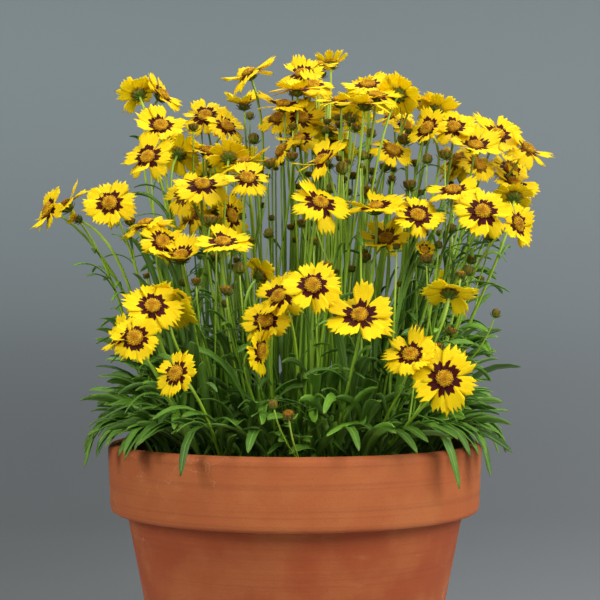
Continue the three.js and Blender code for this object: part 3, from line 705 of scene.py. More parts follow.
def about_axis(centre, axes, height, radial, lateral, angle):
    """Points about an axis, by their height, distance out and distance sideways at an angle."""
    axis, side, up = axes
    cos, sin = math.cos(angle), math.sin(angle)
    return (
        centre
        + height[..., None] * axis
        + (radial * cos - lateral * sin)[..., None] * side
        + (radial * sin + lateral * cos)[..., None] * up
    )


def new_object(name, data):
    """An object in the scene that shows the data."""
    item = bpy.data.objects.new(name, data)
    bpy.context.collection.objects.link(item)
    return item


def make_piece(name, shape, material, slot, *nodes):
    """Turns a shape into an object that rides on the plant and stands for its nodes."""
    if not shape.size:
        raise ValueError(f"{name} has no points")
    mesh = bpy.data.meshes.new(name)
    points = np.concatenate(shape.points) * MM
    mesh.vertices.add(len(points))
    mesh.vertices.foreach_set("co", points.ravel())
    loops, totals = [], []
    for sides, groups in shape.faces.items():
        if groups:
            faces = np.concatenate(groups)
            loops.append(faces.ravel())
            totals.append(np.full(len(faces), sides))
    loops, totals = np.concatenate(loops), np.concatenate(totals)
    mesh.loops.add(len(loops))
    mesh.loops.foreach_set("vertex_index", loops.astype(np.int32))
    mesh.polygons.add(len(totals))
    starts = np.concatenate([[0], np.cumsum(totals)[:-1]])
    mesh.polygons.foreach_set("loop_start", starts.astype(np.int32))
    mesh.polygons.foreach_set("loop_total", totals.astype(np.int32))
    mesh.polygons.foreach_set("use_smooth", np.ones(len(totals), bool))
    mesh.update(calc_edges=True)
    for key, groups in shape.values.items():
        layer = mesh.attributes.new(key, "FLOAT", "POINT")
        layer.data.foreach_set("value", np.concatenate(groups).astype(np.float32))
    mesh.validate()
    mesh.materials.append(material)
    piece = new_object(name, mesh)
    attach(piece, "root")
    if nodes:
        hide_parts(*nodes)
    return piece


# ---- leaves -----------------------------------------------------------------------------------------

def add_leaf(shape, path, width, roll, draw, tone, channel=0.3):
    """Adds a lance-shaped leaf, channelled along its midrib, over a midline."""
    rows = len(path)
    place = np.linspace(0, 1, rows)
    along = tangents(path)
    across = unit(np.stack([along[:, 1], -along[:, 0], np.zeros(rows)], -1))
    twist = roll + sway(draw, 0.6) * place
    second = np.cross(along, across)
    across = across * np.cos(twist)[:, None] + second * np.sin(twist)[:, None]
    above = np.cross(along, across)
    above *= np.where(above[:, 2:] < 0, -1.0, 1.0)
    half = 0.5 * width * np.interp(place, *LEAF_OUTLINE)
    wave = 0.05 * width * np.sin(place * mix(8, 14, draw()) + 6 * draw())
    columns = LEAF_COLUMNS if width > WIDE_LEAF else NARROW_COLUMNS
    grid = path[:, None] + half[:, None, None] * columns[None, :, None] * across[:, None]
    rise = channel * half[:, None] * np.abs(columns)[None] ** 1.3 + wave[:, None] * columns[None] ** 2
    grid = grid + rise[..., None] * above[:, None]
    values = {"along": place[:, None], "across": columns[None], "tone": tone}
    add_blade(shape, grid, LEAF_THICKNESS, **values)


def leaf_path(curve):
    return bezier(curve, LEAF_ROWS)


# ---- blooms ------------------------------------------------------------------------------------------

RAY_ALONG = np.array([0, 0.09, 0.2, 0.33, 0.46, 0.6, 0.74, 0.88, 1.0])
RAY_ACROSS = np.linspace(-1, 1, 9)
RAY_OUTLINE = ([0, 0.12, 0.3, 0.5, 0.7, 0.86, 1], [0.1, 0.155, 0.22, 0.275, 0.315, 0.325, 0.29])
FLORETS = 74
SPENT_FLORETS = 36
FLORET_SIDES = 5


def ray_reach(draw):
    """How far each line of a ray reaches: pointed teeth, notches between and low shoulders."""
    reach = np.empty(len(RAY_ACROSS))
    reach[1::2] = [1.11 - 0.2 * draw() for _ in reach[1::2]]
    reach[0::2] = [0.91 - 0.18 * draw() for _ in reach[0::2]]
    reach[[0, -1]] = 0.76
    return reach


def add_ray(shape, bloom, axes, angle, lift, length, draw, tone, dull):
    """Adds one toothed, lightly pleated ray that widens away from the disc."""
    base = 0.66 * DISC_RADIUS * bloom_scale(bloom)
    open_share = 1 - min(1, max(bloom[6] - 12, 0) / 34)
    along, across = np.meshgrid(RAY_ALONG, RAY_ACROSS, indexing="ij")
    reach = 1 + (ray_reach(draw) - 1)[None] * along**3
    run = (length - base) * along * reach
    half = np.interp(along, *RAY_OUTLINE) * length * mix(0.72, 1, open_share) * mix(1, 0.8, dull)
    half *= mix(0.88, 1.16, draw())
    drift = np.array([sway(draw, 0.16) for _ in RAY_ACROSS])
    drift[[0, -1]] = 0
    lateral = -half * (across + drift[None] * along)
    lift = lift + sway(draw, math.radians(36)) * mix(0.4, 1, open_share)
    arch = mix(0.3, -0.4, draw()) * mix(0.5, 1, open_share) - 0.2 * dull
    curl = mix(-1.4, 2.2, draw()) * mix(1, 1.8, dull)
    lean = math.tan(math.radians(6 + sway(draw, 26)))
    radial = base + run * math.cos(lift)
    height = 0.5 * RAY_THICKNESS + run * math.sin(lift) + arch * run * run / length
    height = height + lateral * lean - curl * across**2 * along
    height = height + 0.3 * np.cos(across * 2.6 * math.pi + 2 * draw()) * along
    grid = about_axis(bloom_centre(bloom), axes, height, radial, lateral, angle)
    add_blade(shape, grid, 0.4 - 0.14 * along, along=along, across=across, tone=tone, dull=dull)


def add_rays(shape, bloom, index, dull):
    """Adds all the rays of one bloom."""
    draw = stream("rays", index)
    axes = bloom_axes(bloom)
    diameter, cup = bloom[5], bloom[6]
    spin = draw() * 2 * math.pi
    own = stream("tone", index)
    tone = own()
    for k in range(RAY_COUNT):
        lift = math.radians(cup + sway(draw, 8))
        length = diameter / 2 * mix(0.93, 1.05, draw())
        angle = spin + (k + sway(own, 0.4)) * 2 * math.pi / RAY_COUNT
        add_ray(shape, bloom, axes, angle, lift, length, own, mix(tone, own(), 0.4), dull)


def dome_level(share, rise):
    """The height of a domed disc at a share of its radius."""
    return rise * np.sqrt(np.maximum(1 - share**2, 0)) * 0.8


def add_disc(shape, centre, axes, radius, rise, draw, age, florets=FLORETS):
    """Adds a domed disc: a cushion set with fine florets in spirals."""
    axis, side, up = axes
    size = radius / DISC_RADIUS
    share = np.array([0.05, 0.4, 0.7, 0.9, 1, 0.96])
    level = dome_level(share, rise) + 0.4
    level[-1] = -0.2
    profile = np.stack([share * radius * 0.96, level], -1)
    add_turned(shape, centre, axes, profile, 16, radial=share, tone=0.2, age=age)
    number = np.arange(florets)
    out = np.sqrt((number + 0.5) / florets)
    turn = (number * GOLDEN_ANGLE + draw())[:, None]
    tilt = (1.05 * out)[:, None]
    level = dome_level(0.97 * out, rise) + 0.35
    outward = np.cos(turn) * side + np.sin(turn) * up
    sideways = -np.sin(turn) * side + np.cos(turn) * up
    facing = np.sin(tilt) * outward + np.cos(tilt) * axis
    slope = np.cos(tilt) * outward - np.sin(tilt) * axis
    foot = centre + (0.97 * out * radius)[:, None] * outward + level[:, None] * axis
    tall = np.array([mix(0.7, 1.25, draw()) for _ in number]) * size
    wide = (mix(0.42, 0.62, out) * size * math.sqrt(FLORETS / florets))[:, None, None]
    angle = circle(FLORET_SIDES)[None, :, None]
    ring = np.cos(angle) * slope[:, None] + np.sin(angle) * sideways[:, None]
    bottom = foot[:, None] + 0.7 * wide * ring - 0.3 * facing[:, None]
    top = foot[:, None] + wide * ring + (0.75 * tall)[:, None, None] * facing[:, None]
    peak = foot + tall[:, None] * facing
    tones = np.array([draw() for _ in number])
    first = np.arange(FLORET_SIDES)
    following = (first + 1) % FLORET_SIDES
    upper, next_upper = first + FLORET_SIDES, following + FLORET_SIDES
    quads = np.stack([first, following, next_upper, upper], -1)
    tris = np.stack([upper, next_upper, np.full(FLORET_SIDES, 2 * FLORET_SIDES)], -1)
    per = 2 * FLORET_SIDES + 1
    points = np.concatenate([bottom, top, peak[:, None]], 1)
    steps = (number * per)[:, None, None]
    shape.add(
        points,
        quads=(quads[None] + steps).reshape(-1, 4),
        tris=(tris[None] + steps).reshape(-1, 3),
        radial=np.repeat(out, per),
        tone=np.repeat(tones, per),
        age=age,
    )


BRACT_ALONG = np.array([0, 0.38, 0.76, 1])
BRACT_ACROSS = np.array([-1, 0, 1])
BRACT_WIDTHS = np.array([0.7, 1, 0.66, 0.08])


def add_bract(shape, centre, axes, angle, route, width, tone, age=0.0):
    """Adds a pointed bract that follows a route of radius and height from its foot to its tip."""
    route = np.asarray(route, float)
    stops = np.linspace(0, 1, len(route))
    radius, height = (np.interp(BRACT_ALONG, stops, column)[:, None] for column in route.T)
    half = 0.5 * width * BRACT_WIDTHS[:, None]
    lateral = -half * BRACT_ACROSS[None]
    radius = radius - 0.12 * half * BRACT_ACROSS[None] ** 2
    grid = about_axis(centre, axes, height + 0 * lateral, radius, lateral, angle)
    add_blade(shape, grid, 0.3, along=BRACT_ALONG[:, None], tone=tone, age=age)


def add_calyx(shape, bloom, index):
    """Adds the green cup of bracts under a bloom."""
    draw = stream("calyx", index)
    size = bloom_scale(bloom)
    axes = bloom_axes(bloom)
    centre = bloom_centre(bloom)
    profile = [(0.8, -6.2), (1.6, -5.4), (3.1, -4.2), (4.1, -2.5), (4.4, -1.0), (4.2, -SEAT_GAP)]
    profile = np.array(profile) * [size, 1]
    add_turned(shape, centre, axes, profile, 16, 0.03, along=np.linspace(0, 0.6, 6), tone=0.5)
    spin = draw() * 2 * math.pi
    inner = np.array([(2.4, -4.9), (4.3, -3.1), (5.6, -1.4), (7.2, -0.5)]) * [size, 1]
    for k in range(8):
        angle = spin + k * math.pi / 4
        outer = [(1.9, -5.4), (3.6, -4.8), (5.6, -4.0), (7.4, -3.8 + 1.6 * draw())]
        outer = np.array(outer) * [size, 1]
        add_bract(shape, centre, axes, angle, inner, 3.2 * size, 0.35 + 0.3 * draw())
        add_bract(shape, centre, axes, angle + math.pi / 8, outer, 1.7 * size, 0.7 + 0.3 * draw())


def head_axes(curve):
    """The axes of a head at the end of a midline."""
    facing = tangents(bezier(curve, np.linspace(0.9, 1, 5)))[-1]
    side = unit(np.cross(facing, np.array([0.3, 1.0, 0.1])))
    return facing, side, np.cross(facing, side)


def add_head(green, seeds, diameter, curve, index):
    """Adds a closed bud, or a head that has shed its rays and turned brown on top."""
    draw = stream("head", index)
    axes = head_axes(curve)
    centre = np.asarray(curve[-1], float)
    spent = draw() < 0.6
    half = (0.47 if spent else 0.4) * diameter
    worn = mix(0.35, 0.95, draw()) if spent else 0.25 * draw()
    top = 0.5 if spent else 0.97
    turn = np.linspace(0.06, top, 7) * math.pi
    flat = 0.8 if spent else 1.04
    profile = np.stack([half * np.sin(turn), -flat * half * np.cos(turn)], -1)
    add_turned(green, centre, axes, profile, 12, along=np.linspace(0, 1, 7), tone=draw(), age=worn)
    spin = draw() * 2 * math.pi
    swell = 1.04 * half
    for k in range(8):
        angle = spin + k * math.pi / 4
        if spent:
            route = [(0.2, -0.86), (0.84, -0.56), (1.06, -0.05), (1.0, 0.42 + 0.2 * draw())]
        else:
            route = [(0.25, -1), (0.82, -0.66), (1.02, 0), (0.74, 0.72)]
        add_bract(green, centre, axes, angle, swell * np.array(route), 0.7 * half, draw(), worn)
        if k % 2 == 0:
            spread = np.array([(0.3, -1.05), (0.95, -0.95), (1.5, -0.45 + 0.5 * draw())])
            tone = 0.6 + 0.4 * draw()
            add_bract(green, centre, axes, angle + 0.3, swell * spread, 0.4 * half, tone, worn)
    if spent:
        brown = mix(0.4, 1, draw())
        add_disc(seeds, centre, axes, 0.94 * half, 0.62 * half, draw, brown, SPENT_FLORETS)


# ---- materials ----------------------------------------------------------------------------------------


def tint(red, green, blue):
    """A scene-linear colour from display values of 0 to 255."""
    channels = []
    for value in (red, green, blue):
        share = value / 255
        channels.append(share / 12.92 if share <= 0.04045 else ((share + 0.055) / 1.055) ** 2.4)
    return (*channels, 1.0)


class Wiring:
    """Adds nodes to a tree, each with its values and links in one call."""

    def __init__(self, tree):
        self.tree = tree

    def node(self, kind, inputs=None, **settings):
        node = self.tree.nodes.new(kind)
        for key, value in settings.items():
            setattr(node, key, value)
        for key, value in (inputs or {}).items():
            self.feed(value, node.inputs[key])
        return node

    def feed(self, value, socket):
        if isinstance(value, bpy.types.NodeSocket):
            self.tree.links.new(value, socket)
        else:
            socket.default_value = value

    def value(self, name):
        """A per-point value of the piece."""
        return self.node("ShaderNodeAttribute", attribute_name=name).outputs["Fac"]

    def place(self):
        """Where a point lies in the piece, in metres."""
        return self.node("ShaderNodeTexCoord").outputs["Object"]

    def math(self, operation, first, second=0.0, third=0.0):
        inputs = {0: first, 1: second, 2: third}
        return self.node("ShaderNodeMath", inputs, operation=operation).outputs[0]

    def product(self, first, second):
        return self.math("MULTIPLY", first, second)

    def inverse(self, share):
        """What a share leaves of 1."""
        return self.math("SUBTRACT", 1.0, share)

    def blend(self, share, first, second):
        """A mix of two colours."""
        inputs = {0: share, 6: first, 7: second}
        return self.node("ShaderNodeMix", inputs, data_type="RGBA").outputs[2]

    def stain(self, colour, mask, strength, *shade):
        """A colour with a shade over it where the mask is, up to a strength."""
        return self.blend(self.product(mask, strength), colour, tint(*shade))

    def ramp(self, share, stops):
        """A colour that runs through stops of place and colour."""
        node = self.node("ShaderNodeValToRGB", {0: share})
        band = node.color_ramp.elements
        while len(band) < len(stops):
            band.new(0.5)
        for element, (place, colour) in zip(band, stops):
            element.position = place
            element.color = colour
        return node.outputs["Color"]

    def noise(self, scale, detail=2.0, vector=None, roughness=0.5):
        inputs = {"Scale": scale, "Detail": detail, "Roughness": roughness}
        inputs["Vector"] = self.place() if vector is None else vector
        return self.node("ShaderNodeTexNoise", inputs).outputs["Fac"]

    def stretched(self, *scale):
        """Where a point lies, scaled along each axis."""
        return self.node("ShaderNodeMapping", {"Vector": self.place(), "Scale": scale}).outputs[0]

    def mottle(self, scale, low, high):
        """A mask of soft patches."""
        return self.group(mottle_group(), scale=scale, low=low, high=high).outputs["Mask"]

    def step(self, value, low, high):
        """0 below low, 1 above high, smooth between."""
        inputs = {"Value": value, "From Min": low, "From Max": high}
        return self.node("ShaderNodeMapRange", inputs, interpolation_type="SMOOTHSTEP").outputs["Result"]

    def group(self, tree, **inputs):
        node = self.node("ShaderNodeGroup", node_tree=tree)
        for key, value in inputs.items():
            self.feed(value, node.inputs[key.replace("_", " ").title()])
        return node


def new_group(name, inputs, outputs):
    """An empty shader node group with named float sockets."""
    tree = bpy.data.node_groups.new(name, "ShaderNodeTree")
    for label, default in inputs:
        socket = tree.interface.new_socket(label, in_out="INPUT", socket_type="NodeSocketFloat")
        socket.default_value = default
    for label in outputs:
        tree.interface.new_socket(label, in_out="OUTPUT", socket_type="NodeSocketFloat")
    wiring = Wiring(tree)
    return tree, wiring, wiring.node("NodeGroupInput"), wiring.node("NodeGroupOutput")


@lru_cache(maxsize=None)
def mottle_group():
    """Soft patches over the surface, for anything that isn't one even colour."""
    inputs = [("Scale", 40.0), ("Low", 0.35), ("High", 0.65)]
    tree, wiring, entry, leave = new_group("Mottle", inputs, ["Mask"])
    patches = wiring.noise(entry.outputs["Scale"], 4.0)
    mask = wiring.step(patches, entry.outputs["Low"], entry.outputs["High"])
    wiring.feed(mask, leave.inputs["Mask"])
    return tree


@lru_cache(maxsize=None)
def streak_group():
    """Fine lines that run the length of a ray, leaf or stem."""
    inputs = [("Along", 0.0), ("Across", 0.0), ("Shift", 0.0), ("Density", 6.0)]
    tree, wiring, entry, leave = new_group("Streaks", inputs, ["Mask", "Height"])
    lines = wiring.product(entry.outputs["Across"], entry.outputs["Density"])
    drift = wiring.product(entry.outputs["Shift"], 37.0)
    parts = {0: lines, 1: entry.outputs["Along"], 2: drift}
    vector = wiring.node("ShaderNodeCombineXYZ", parts).outputs[0]
    grain = wiring.noise(1.4, 3.0, vector)
    wiring.feed(wiring.step(grain, 0.38, 0.62), leave.inputs["Mask"])
    wiring.feed(grain, leave.inputs["Height"])
    return tree


class Finish(Wiring):
    """A new material with its Principled shader, and the wiring that dresses it."""

    def __init__(self, name):
        self.material = bpy.data.materials.new(name)
        self.material.use_nodes = True
        self.shader = self.material.node_tree.nodes["Principled BSDF"]
        super().__init__(self.material.node_tree)

    def let_light_through(self, weight, radius, scale):
        """Makes a thin leaf or ray glow where it is lit from the other side."""
        for key, value in (("Weight", weight), ("Radius", radius), ("Scale", scale)):
            self.feed(value, self.shader.inputs[f"Subsurface {key}"])

    def surface(self, colour, roughness, specular=0.5, height=None, depth=0.0, strength=0.0):
        """The material, with its colour, roughness, shine and, where there is one, its relief."""
        self.feed(colour, self.shader.inputs["Base Color"])
        self.feed(roughness, self.shader.inputs["Roughness"])
        self.feed(specular, self.shader.inputs["Specular IOR Level"])
        if height is not None:
            inputs = {"Height": height, "Distance": depth, "Strength": strength}
            bump = self.node("ShaderNodeBump", inputs)
            self.feed(bump.outputs["Normal"], self.shader.inputs["Normal"])
        return self.material


def terracotta_material(settings):
    """Fired clay: fine grain, soft blotches, pale scuffs, damp stains under the lip, and a body darker and
    redder than the band, partly painted shade.
    """
    finish = Finish("terracotta")
    clay = tuple(settings.clay_colour)
    level = finish.node("ShaderNodeSeparateXYZ", {0: finish.place()}).outputs["Z"]
    # below the band's foot the clay is darker and redder: partly the body's own redder clay, partly painted
    # shade
    band = finish.step(level, BAND_FOOT * MM, (BAND_FOOT + 4) * MM)
    colour = finish.blend(band, finish.blend(0.6, clay, tint(136, 50, 16)), clay)
    colour = finish.stain(colour, finish.mottle(22.0, 0.4, 0.72), 0.35, 188, 116, 62)
    colour = finish.stain(colour, finish.mottle(11.0, 0.5, 0.8), 0.3, 134, 64, 34)
    speckle = finish.noise(900.0, 3.0)
    colour = finish.stain(colour, finish.step(speckle, 0.55, 0.75), 0.22, 104, 50, 28)
    lip = finish.step(level, (POT_HEIGHT - 12) * MM, (POT_HEIGHT - 2) * MM)
    damp = finish.product(lip, finish.step(finish.noise(30.0, 4.0), 0.46, 0.6))
    colour = finish.stain(colour, damp, 0.18, 96, 54, 30)
    turning = finish.noise(1.0, 2.0, finish.stretched(2.0, 2.0, 330.0))
    colour = finish.stain(colour, finish.step(turning, 0.52, 0.68), 0.22, 124, 60, 34)
    scuff = finish.noise(3.0, 5.0, finish.stretched(9.0, 9.0, 46.0), 0.7)
    colour = finish.stain(colour, finish.step(scuff, 0.62, 0.7), 0.14, 200, 134, 82)
    wander = finish.math("ABSOLUTE", finish.math("SUBTRACT", finish.noise(26.0, 5.0), 0.5))
    hairline = finish.inverse(finish.step(wander, 0.0, 0.006))
    hairline = finish.product(hairline, finish.step(finish.noise(7.0), 0.54, 0.6))
    colour = finish.stain(colour, hairline, 0.3, 216, 150, 106)
    grain = finish.math("ADD", finish.noise(700.0, 4.0), finish.product(finish.noise(90.0, 3.0), 1.6))
    grain = finish.math("ADD", grain, turning)
    roughness = finish.math("MULTIPLY_ADD", speckle, 0.2, 0.68)
    return finish.surface(colour, roughness, 0.3, grain, 0.0006, 0.3)


def soil_material(settings):
    """Dark, crumbly potting mix with lighter fibres."""
    finish = Finish("potting_soil")
    dark = tuple(settings.soil_colour)
    stops = [(0, dark), (0.6, tint(74, 54, 38)), (0.9, tint(112, 84, 58)), (1, tint(186, 172, 150))]
    colour = finish.ramp(finish.value("tone"), stops)
    colour = finish.stain(colour, finish.mottle(160.0, 0.35, 0.7), 0.4, 34, 24, 18)
    return finish.surface(colour, 0.95, 0.5, finish.noise(600.0, 6.0), 0.002, 0.8)


def leaf_material(settings):
    """A leaf: green with a paler midrib, fine veins, soft mottling and a yellower tip."""
    finish = Finish("leaf_green")
    along, across, tone = (finish.value(name) for name in ("along", "across", "tone"))
    deep = tuple(settings.deep_colour)
    fresh = tuple(settings.fresh_colour)
    middle = tuple(mix(np.array(deep), np.array(fresh), 0.5))
    colour = finish.ramp(tone, [(0, deep), (0.65, middle), (1, fresh)])
    foot = finish.inverse(finish.step(along, 0.0, 0.35))
    colour = finish.stain(colour, foot, 0.4, 112, 146, 40)
    tip = finish.product(finish.step(along, 0.86, 1.0), tone)
    colour = finish.stain(colour, tip, 0.6, 158, 164, 60)
    stretched = finish.product(along, 3.0)
    veins = finish.group(streak_group(), along=stretched, across=across, shift=tone, density=9.0)
    colour = finish.stain(colour, veins.outputs["Mask"], 0.2, 122, 158, 44)
    rib = finish.inverse(finish.step(finish.math("ABSOLUTE", across), 0.04, 0.2))
    colour = finish.stain(colour, rib, 0.4, 146, 178, 76)
    colour = finish.stain(colour, finish.mottle(90.0, 0.4, 0.75), 0.25, 40, 84, 14)
    below = finish.inverse(finish.value("upper"))
    colour = finish.stain(colour, below, 0.25, 116, 146, 66)
    relief = finish.math("ADD", veins.outputs["Height"], finish.product(rib, -0.8))
    finish.let_light_through(0.18, (0.5, 1.0, 0.15), 0.0012)
    return finish.surface(colour, 0.5, 0.35, relief, 0.0006, 0.5)


def stem_material(settings):
    """Smooth yellow-green stems, darker at the root, with faint ribs."""
    finish = Finish("stem_green")
    fresh = tuple(settings.stem_colour)
    stops = [(0, tint(74, 106, 22)), (0.25, tint(112, 154, 30)), (0.65, fresh), (1, tint(172, 196, 72))]
    colour = finish.ramp(finish.value("along"), stops)
    colour = finish.stain(colour, finish.value("tone"), 0.5, 96, 146, 30)
    colour = finish.stain(colour, finish.mottle(120.0, 0.35, 0.7), 0.3, 120, 150, 44)
    return finish.surface(colour, 0.45, 0.4, finish.noise(260.0, 2.0), 0.0004, 0.3)


@lru_cache(maxsize=None)
def bract_material():
    """Bracts and buds: olive green turning brown towards their tips."""
    finish = Finish("bract_green")
    stops = [
        (0, tint(104, 134, 30)), (0.45, tint(108, 124, 28)), (0.8, tint(126, 100, 26)),
        (1, tint(104, 60, 18)),
    ]
    colour = finish.ramp(finish.value("along"), stops)
    colour = finish.stain(colour, finish.value("tone"), 0.4, 64, 86, 16)
    colour = finish.stain(colour, finish.value("age"), 0.5, 88, 66, 18)
    colour = finish.stain(colour, finish.mottle(420.0, 0.4, 0.7), 0.4, 60, 42, 14)
    return finish.surface(colour, 0.7, 0.2, finish.noise(700.0, 2.0), 0.0008, 0.7)


def ray_material(settings):
    """Yellow rays with fine pleats, a warm foot and a dark lobed patch beside the disc."""
    finish = Finish("ray_yellow")
    along, across, tone = (finish.value(name) for name in ("along", "across", "tone"))
    petal = tuple(settings.ray_colour)
    streaks = finish.group(streak_group(), along=along, across=across, shift=tone, density=7.0)
    stops = [(0, tint(240, 180, 0)), (0.35, tint(246, 198, 0)), (0.7, petal), (1, petal)]
    colour = finish.ramp(along, stops)
    colour = finish.stain(colour, streaks.outputs["Mask"], 0.4, 236, 180, 0)
    colour = finish.stain(colour, tone, 0.2, 250, 210, 2)
    squared = finish.math("POWER", finish.math("ABSOLUTE", across), 2.0)
    bent = finish.product(squared, -0.25)
    lobes = finish.math("COSINE", finish.math("MULTIPLY_ADD", across, 8.0, finish.product(tone, 6.0)))
    edge = finish.math("MULTIPLY_ADD", lobes, 0.05, bent)
    edge = finish.math("ADD", edge, finish.product(tone, 0.12))
    edge = finish.math("ADD", edge, finish.math("MULTIPLY_ADD", streaks.outputs["Height"], 0.26, 0.23))
    patch = finish.step(finish.math("SUBTRACT", edge, along), -0.012, 0.014)
    patch = finish.product(patch, finish.step(finish.value("upper"), 0.4, 0.6))
    colour = finish.blend(patch, colour, tuple(settings.patch_colour))
    worn = finish.blend(0.5, colour, tint(214, 166, 10))
    colour = finish.blend(finish.value("dull"), colour, worn)
    relief = finish.math("ADD", streaks.outputs["Height"], finish.product(finish.noise(500.0, 2.0), 0.3))
    finish.let_light_through(0.6, (1.0, 0.94, 0.06), 0.002)
    return finish.surface(colour, 0.7, 0.14, relief, 0.0007, 0.6)


@lru_cache(maxsize=None)
def floret_material():
    """Disc florets: orange-brown buds in the middle, golden open ones around them."""
    finish = Finish("floret_gold")
    stops = [
        (0, tint(176, 120, 16)), (0.45, tint(218, 166, 22)), (0.8, tint(236, 192, 30)),
        (1, tint(176, 120, 12)),
    ]
    colour = finish.ramp(finish.value("radial"), stops)
    colour = finish.stain(colour, finish.value("tone"), 0.45, 142, 86, 10)
    colour = finish.stain(colour, finish.value("age"), 0.75, 92, 56, 16)
    colour = finish.stain(colour, finish.mottle(380.0, 0.42, 0.62), 0.5, 124, 70, 8)
    return finish.surface(colour, 0.8, 0.2, finish.noise(1400.0, 2.0), 0.0004, 0.6)


# ---- settings ---------------------------------------------------------------------------------------------


def colour_setting(name, description, *shade):
    return FloatVectorProperty(
        name=name, description=description, size=4, subtype="COLOR", default=tint(*shade)
    )


def length_setting(name, description, default):
    return FloatProperty(name=name, description=description, default=default, unit="LENGTH")


def number_setting(name, description, default):
    return FloatProperty(name=name, description=description, default=default)


class PotSettings(bpy.types.PropertyGroup):
    """Sizes and colour of the pot."""

    height: length_setting("Height", "Height of the pot", pot_high[2])
    rim: length_setting("Rim", "Diameter across the rim", 2 * RIM_RADIUS * MM)
    sides: IntProperty(name="Sides", description="Facets round the pot", default=160, min=24, max=400)
    clay_colour: colour_setting("Clay", "Colour of the fired clay", 164, 86, 42)


class SoilSettings(bpy.types.PropertyGroup):
    """The potting mix."""

    crumb: length_setting("Crumb", "Size of the larger crumbs", 0.005)
    crumbs: IntProperty(name="Crumbs", description="Number of loose crumbs", default=620, min=0, max=3000)
    soil_colour: colour_setting("Soil", "Colour of damp soil", 46, 33, 24)


class GreenSettings(bpy.types.PropertyGroup):
    """Stems and leaves."""

    root_radius: length_setting("Stem at root", "Radius of a stem at its root", 0.0013)
    tip_radius: length_setting("Stem at bloom", "Radius of a stem under its bloom", 0.00095)
    stem_colour: colour_setting("Stem", "Colour of a lit stem", 158, 190, 42)
    deep_colour: colour_setting("Deep leaf", "Colour of the darkest leaves", 24, 62, 10)
    fresh_colour: colour_setting("Fresh leaf", "Colour of the lightest leaves", 116, 168, 46)


class BloomSettings(bpy.types.PropertyGroup):
    """Colours of the blooms."""

    ray_colour: colour_setting("Rays", "Colour of the rays", 241, 193, 0)
    patch_colour: colour_setting("Patch", "Colour at the foot of each ray", 58, 4, 4)


class StageSettings(bpy.types.PropertyGroup):
    """Floor, light and camera."""

    floor_colour: colour_setting("Floor", "Colour of the floor", 206, 208, 208)
    wall_colour: colour_setting("Wall", "Colour of the wall behind", 98, 101, 102)
    key_power: number_setting("Key light", "Power of the main soft light", 51.0)
    fill_power: number_setting("Fill light", "Power of the soft light opposite", 28.0)
    side_power: number_setting("Side light", "Power of the soft light at the side", 14.0)
    top_power: number_setting("Top light", "Power of the soft light above", 26.0)
    room_light: number_setting("Room light", "Strength of the light of the room", 0.5)
    lens: number_setting("Lens", "Focal length", 85.2)


SETTINGS = {
    "pot": PotSettings, "soil": SoilSettings, "green": GreenSettings, "bloom": BloomSettings,
    "stage": StageSettings,
}


def settings_of(context, part):
    return getattr(context.scene, f"coreopsis_{part}")


# ---- pieces ------------------------------------------------------------------------------------------


@lru_cache(maxsize=None)
def all_stems():
    return [clear_stem(index) for index in range(len(BLOOM_ROWS))]


@lru_cache(maxsize=None)
def all_branches():
    return [branch_curve(bud, all_stems()) for bud in BUDS]


def rounded(corners, steps=4):
    """A profile of radius and height with each corner that has a third number rounded by it."""
    points = []
    for k, corner in enumerate(corners):
        here = np.array(corner[:2], float)
        size = corner[2] if len(corner) > 2 else 0
        if not size:
            points.append(here)
            continue
        before = np.array(corners[k - 1][:2], float)
        after = np.array(corners[k + 1][:2], float)
        enter = here + size * unit(before - here)
        leave = here + size * unit(after - here)
        points.extend(bezier([enter, here, leave], np.linspace(0, 1, steps + 1)))
    return np.array(points)


class COREOPSIS_OT_make_pot(bpy.types.Operator):
    """Turns the rimmed terracotta pot and drills its drain holes"""

    bl_idname = "coreopsis.make_pot"
    bl_label = "Make Pot"

    def execute(self, context):
        settings = settings_of(context, "pot")
        tall = settings.height / MM
        rim = settings.rim / MM / 2
        band = BAND_FOOT * tall / POT_HEIGHT
        corners = [
            (1, 0), (BASE_RADIUS, 0, 4), (BODY_TOP_RADIUS - 0.3, band - 0.6, 1.2),
            (BAND_FOOT_RADIUS, band, 4.5), (rim, tall, 6), (INNER_TOP_RADIUS, tall, 6),
            (INNER_BASE_RADIUS, BASE_THICKNESS, 5), (1, BASE_THICKNESS),
        ]
        shape = Shape()
        axes = (np.array([0.0, 0, 1]), np.array([1.0, 0, 0]), np.array([0.0, 1, 0]))
        add_turned(shape, np.zeros(3), axes, rounded(corners), settings.sides)
        pot = make_piece("terracotta_pot", shape, terracotta_material(settings), "terracotta", "pot")
        for angle in circle(DRAIN_HOLES) + math.pi / 2:
            drill = Shape()
            centre = polar(DRAIN_CIRCLE_RADIUS, angle, 0)
            add_turned(drill, centre, axes, [(DRAIN_RADIUS, -9), (DRAIN_RADIUS, 30)], DRILL_SIDES)
            self.cut_hole(pot, drill)
        return {"FINISHED"}

    def cut_hole(self, pot, drill):
        """Takes a drill's shape out of the pot."""
        mesh = bpy.data.meshes.new("drill")
        faces = [list(face) for groups in drill.faces.values() for group in groups for face in group]
        mesh.from_pydata((np.concatenate(drill.points) * MM).tolist(), [], faces)
        tool = new_object("drill", mesh)
        cut = pot.modifiers.new("drain", "BOOLEAN")
        cut.operation = "DIFFERENCE"
        cut.solver = "EXACT"
        cut.object = tool
        graph = bpy.context.evaluated_depsgraph_get()
        drilled = bpy.data.meshes.new_from_object(pot.evaluated_get(graph), depsgraph=graph)
        pot.modifiers.clear()
        pot.data = drilled
        bpy.data.objects.remove(tool)
        if len(drilled.polygons) < 500:
            raise RuntimeError("the drain holes weren't cut")


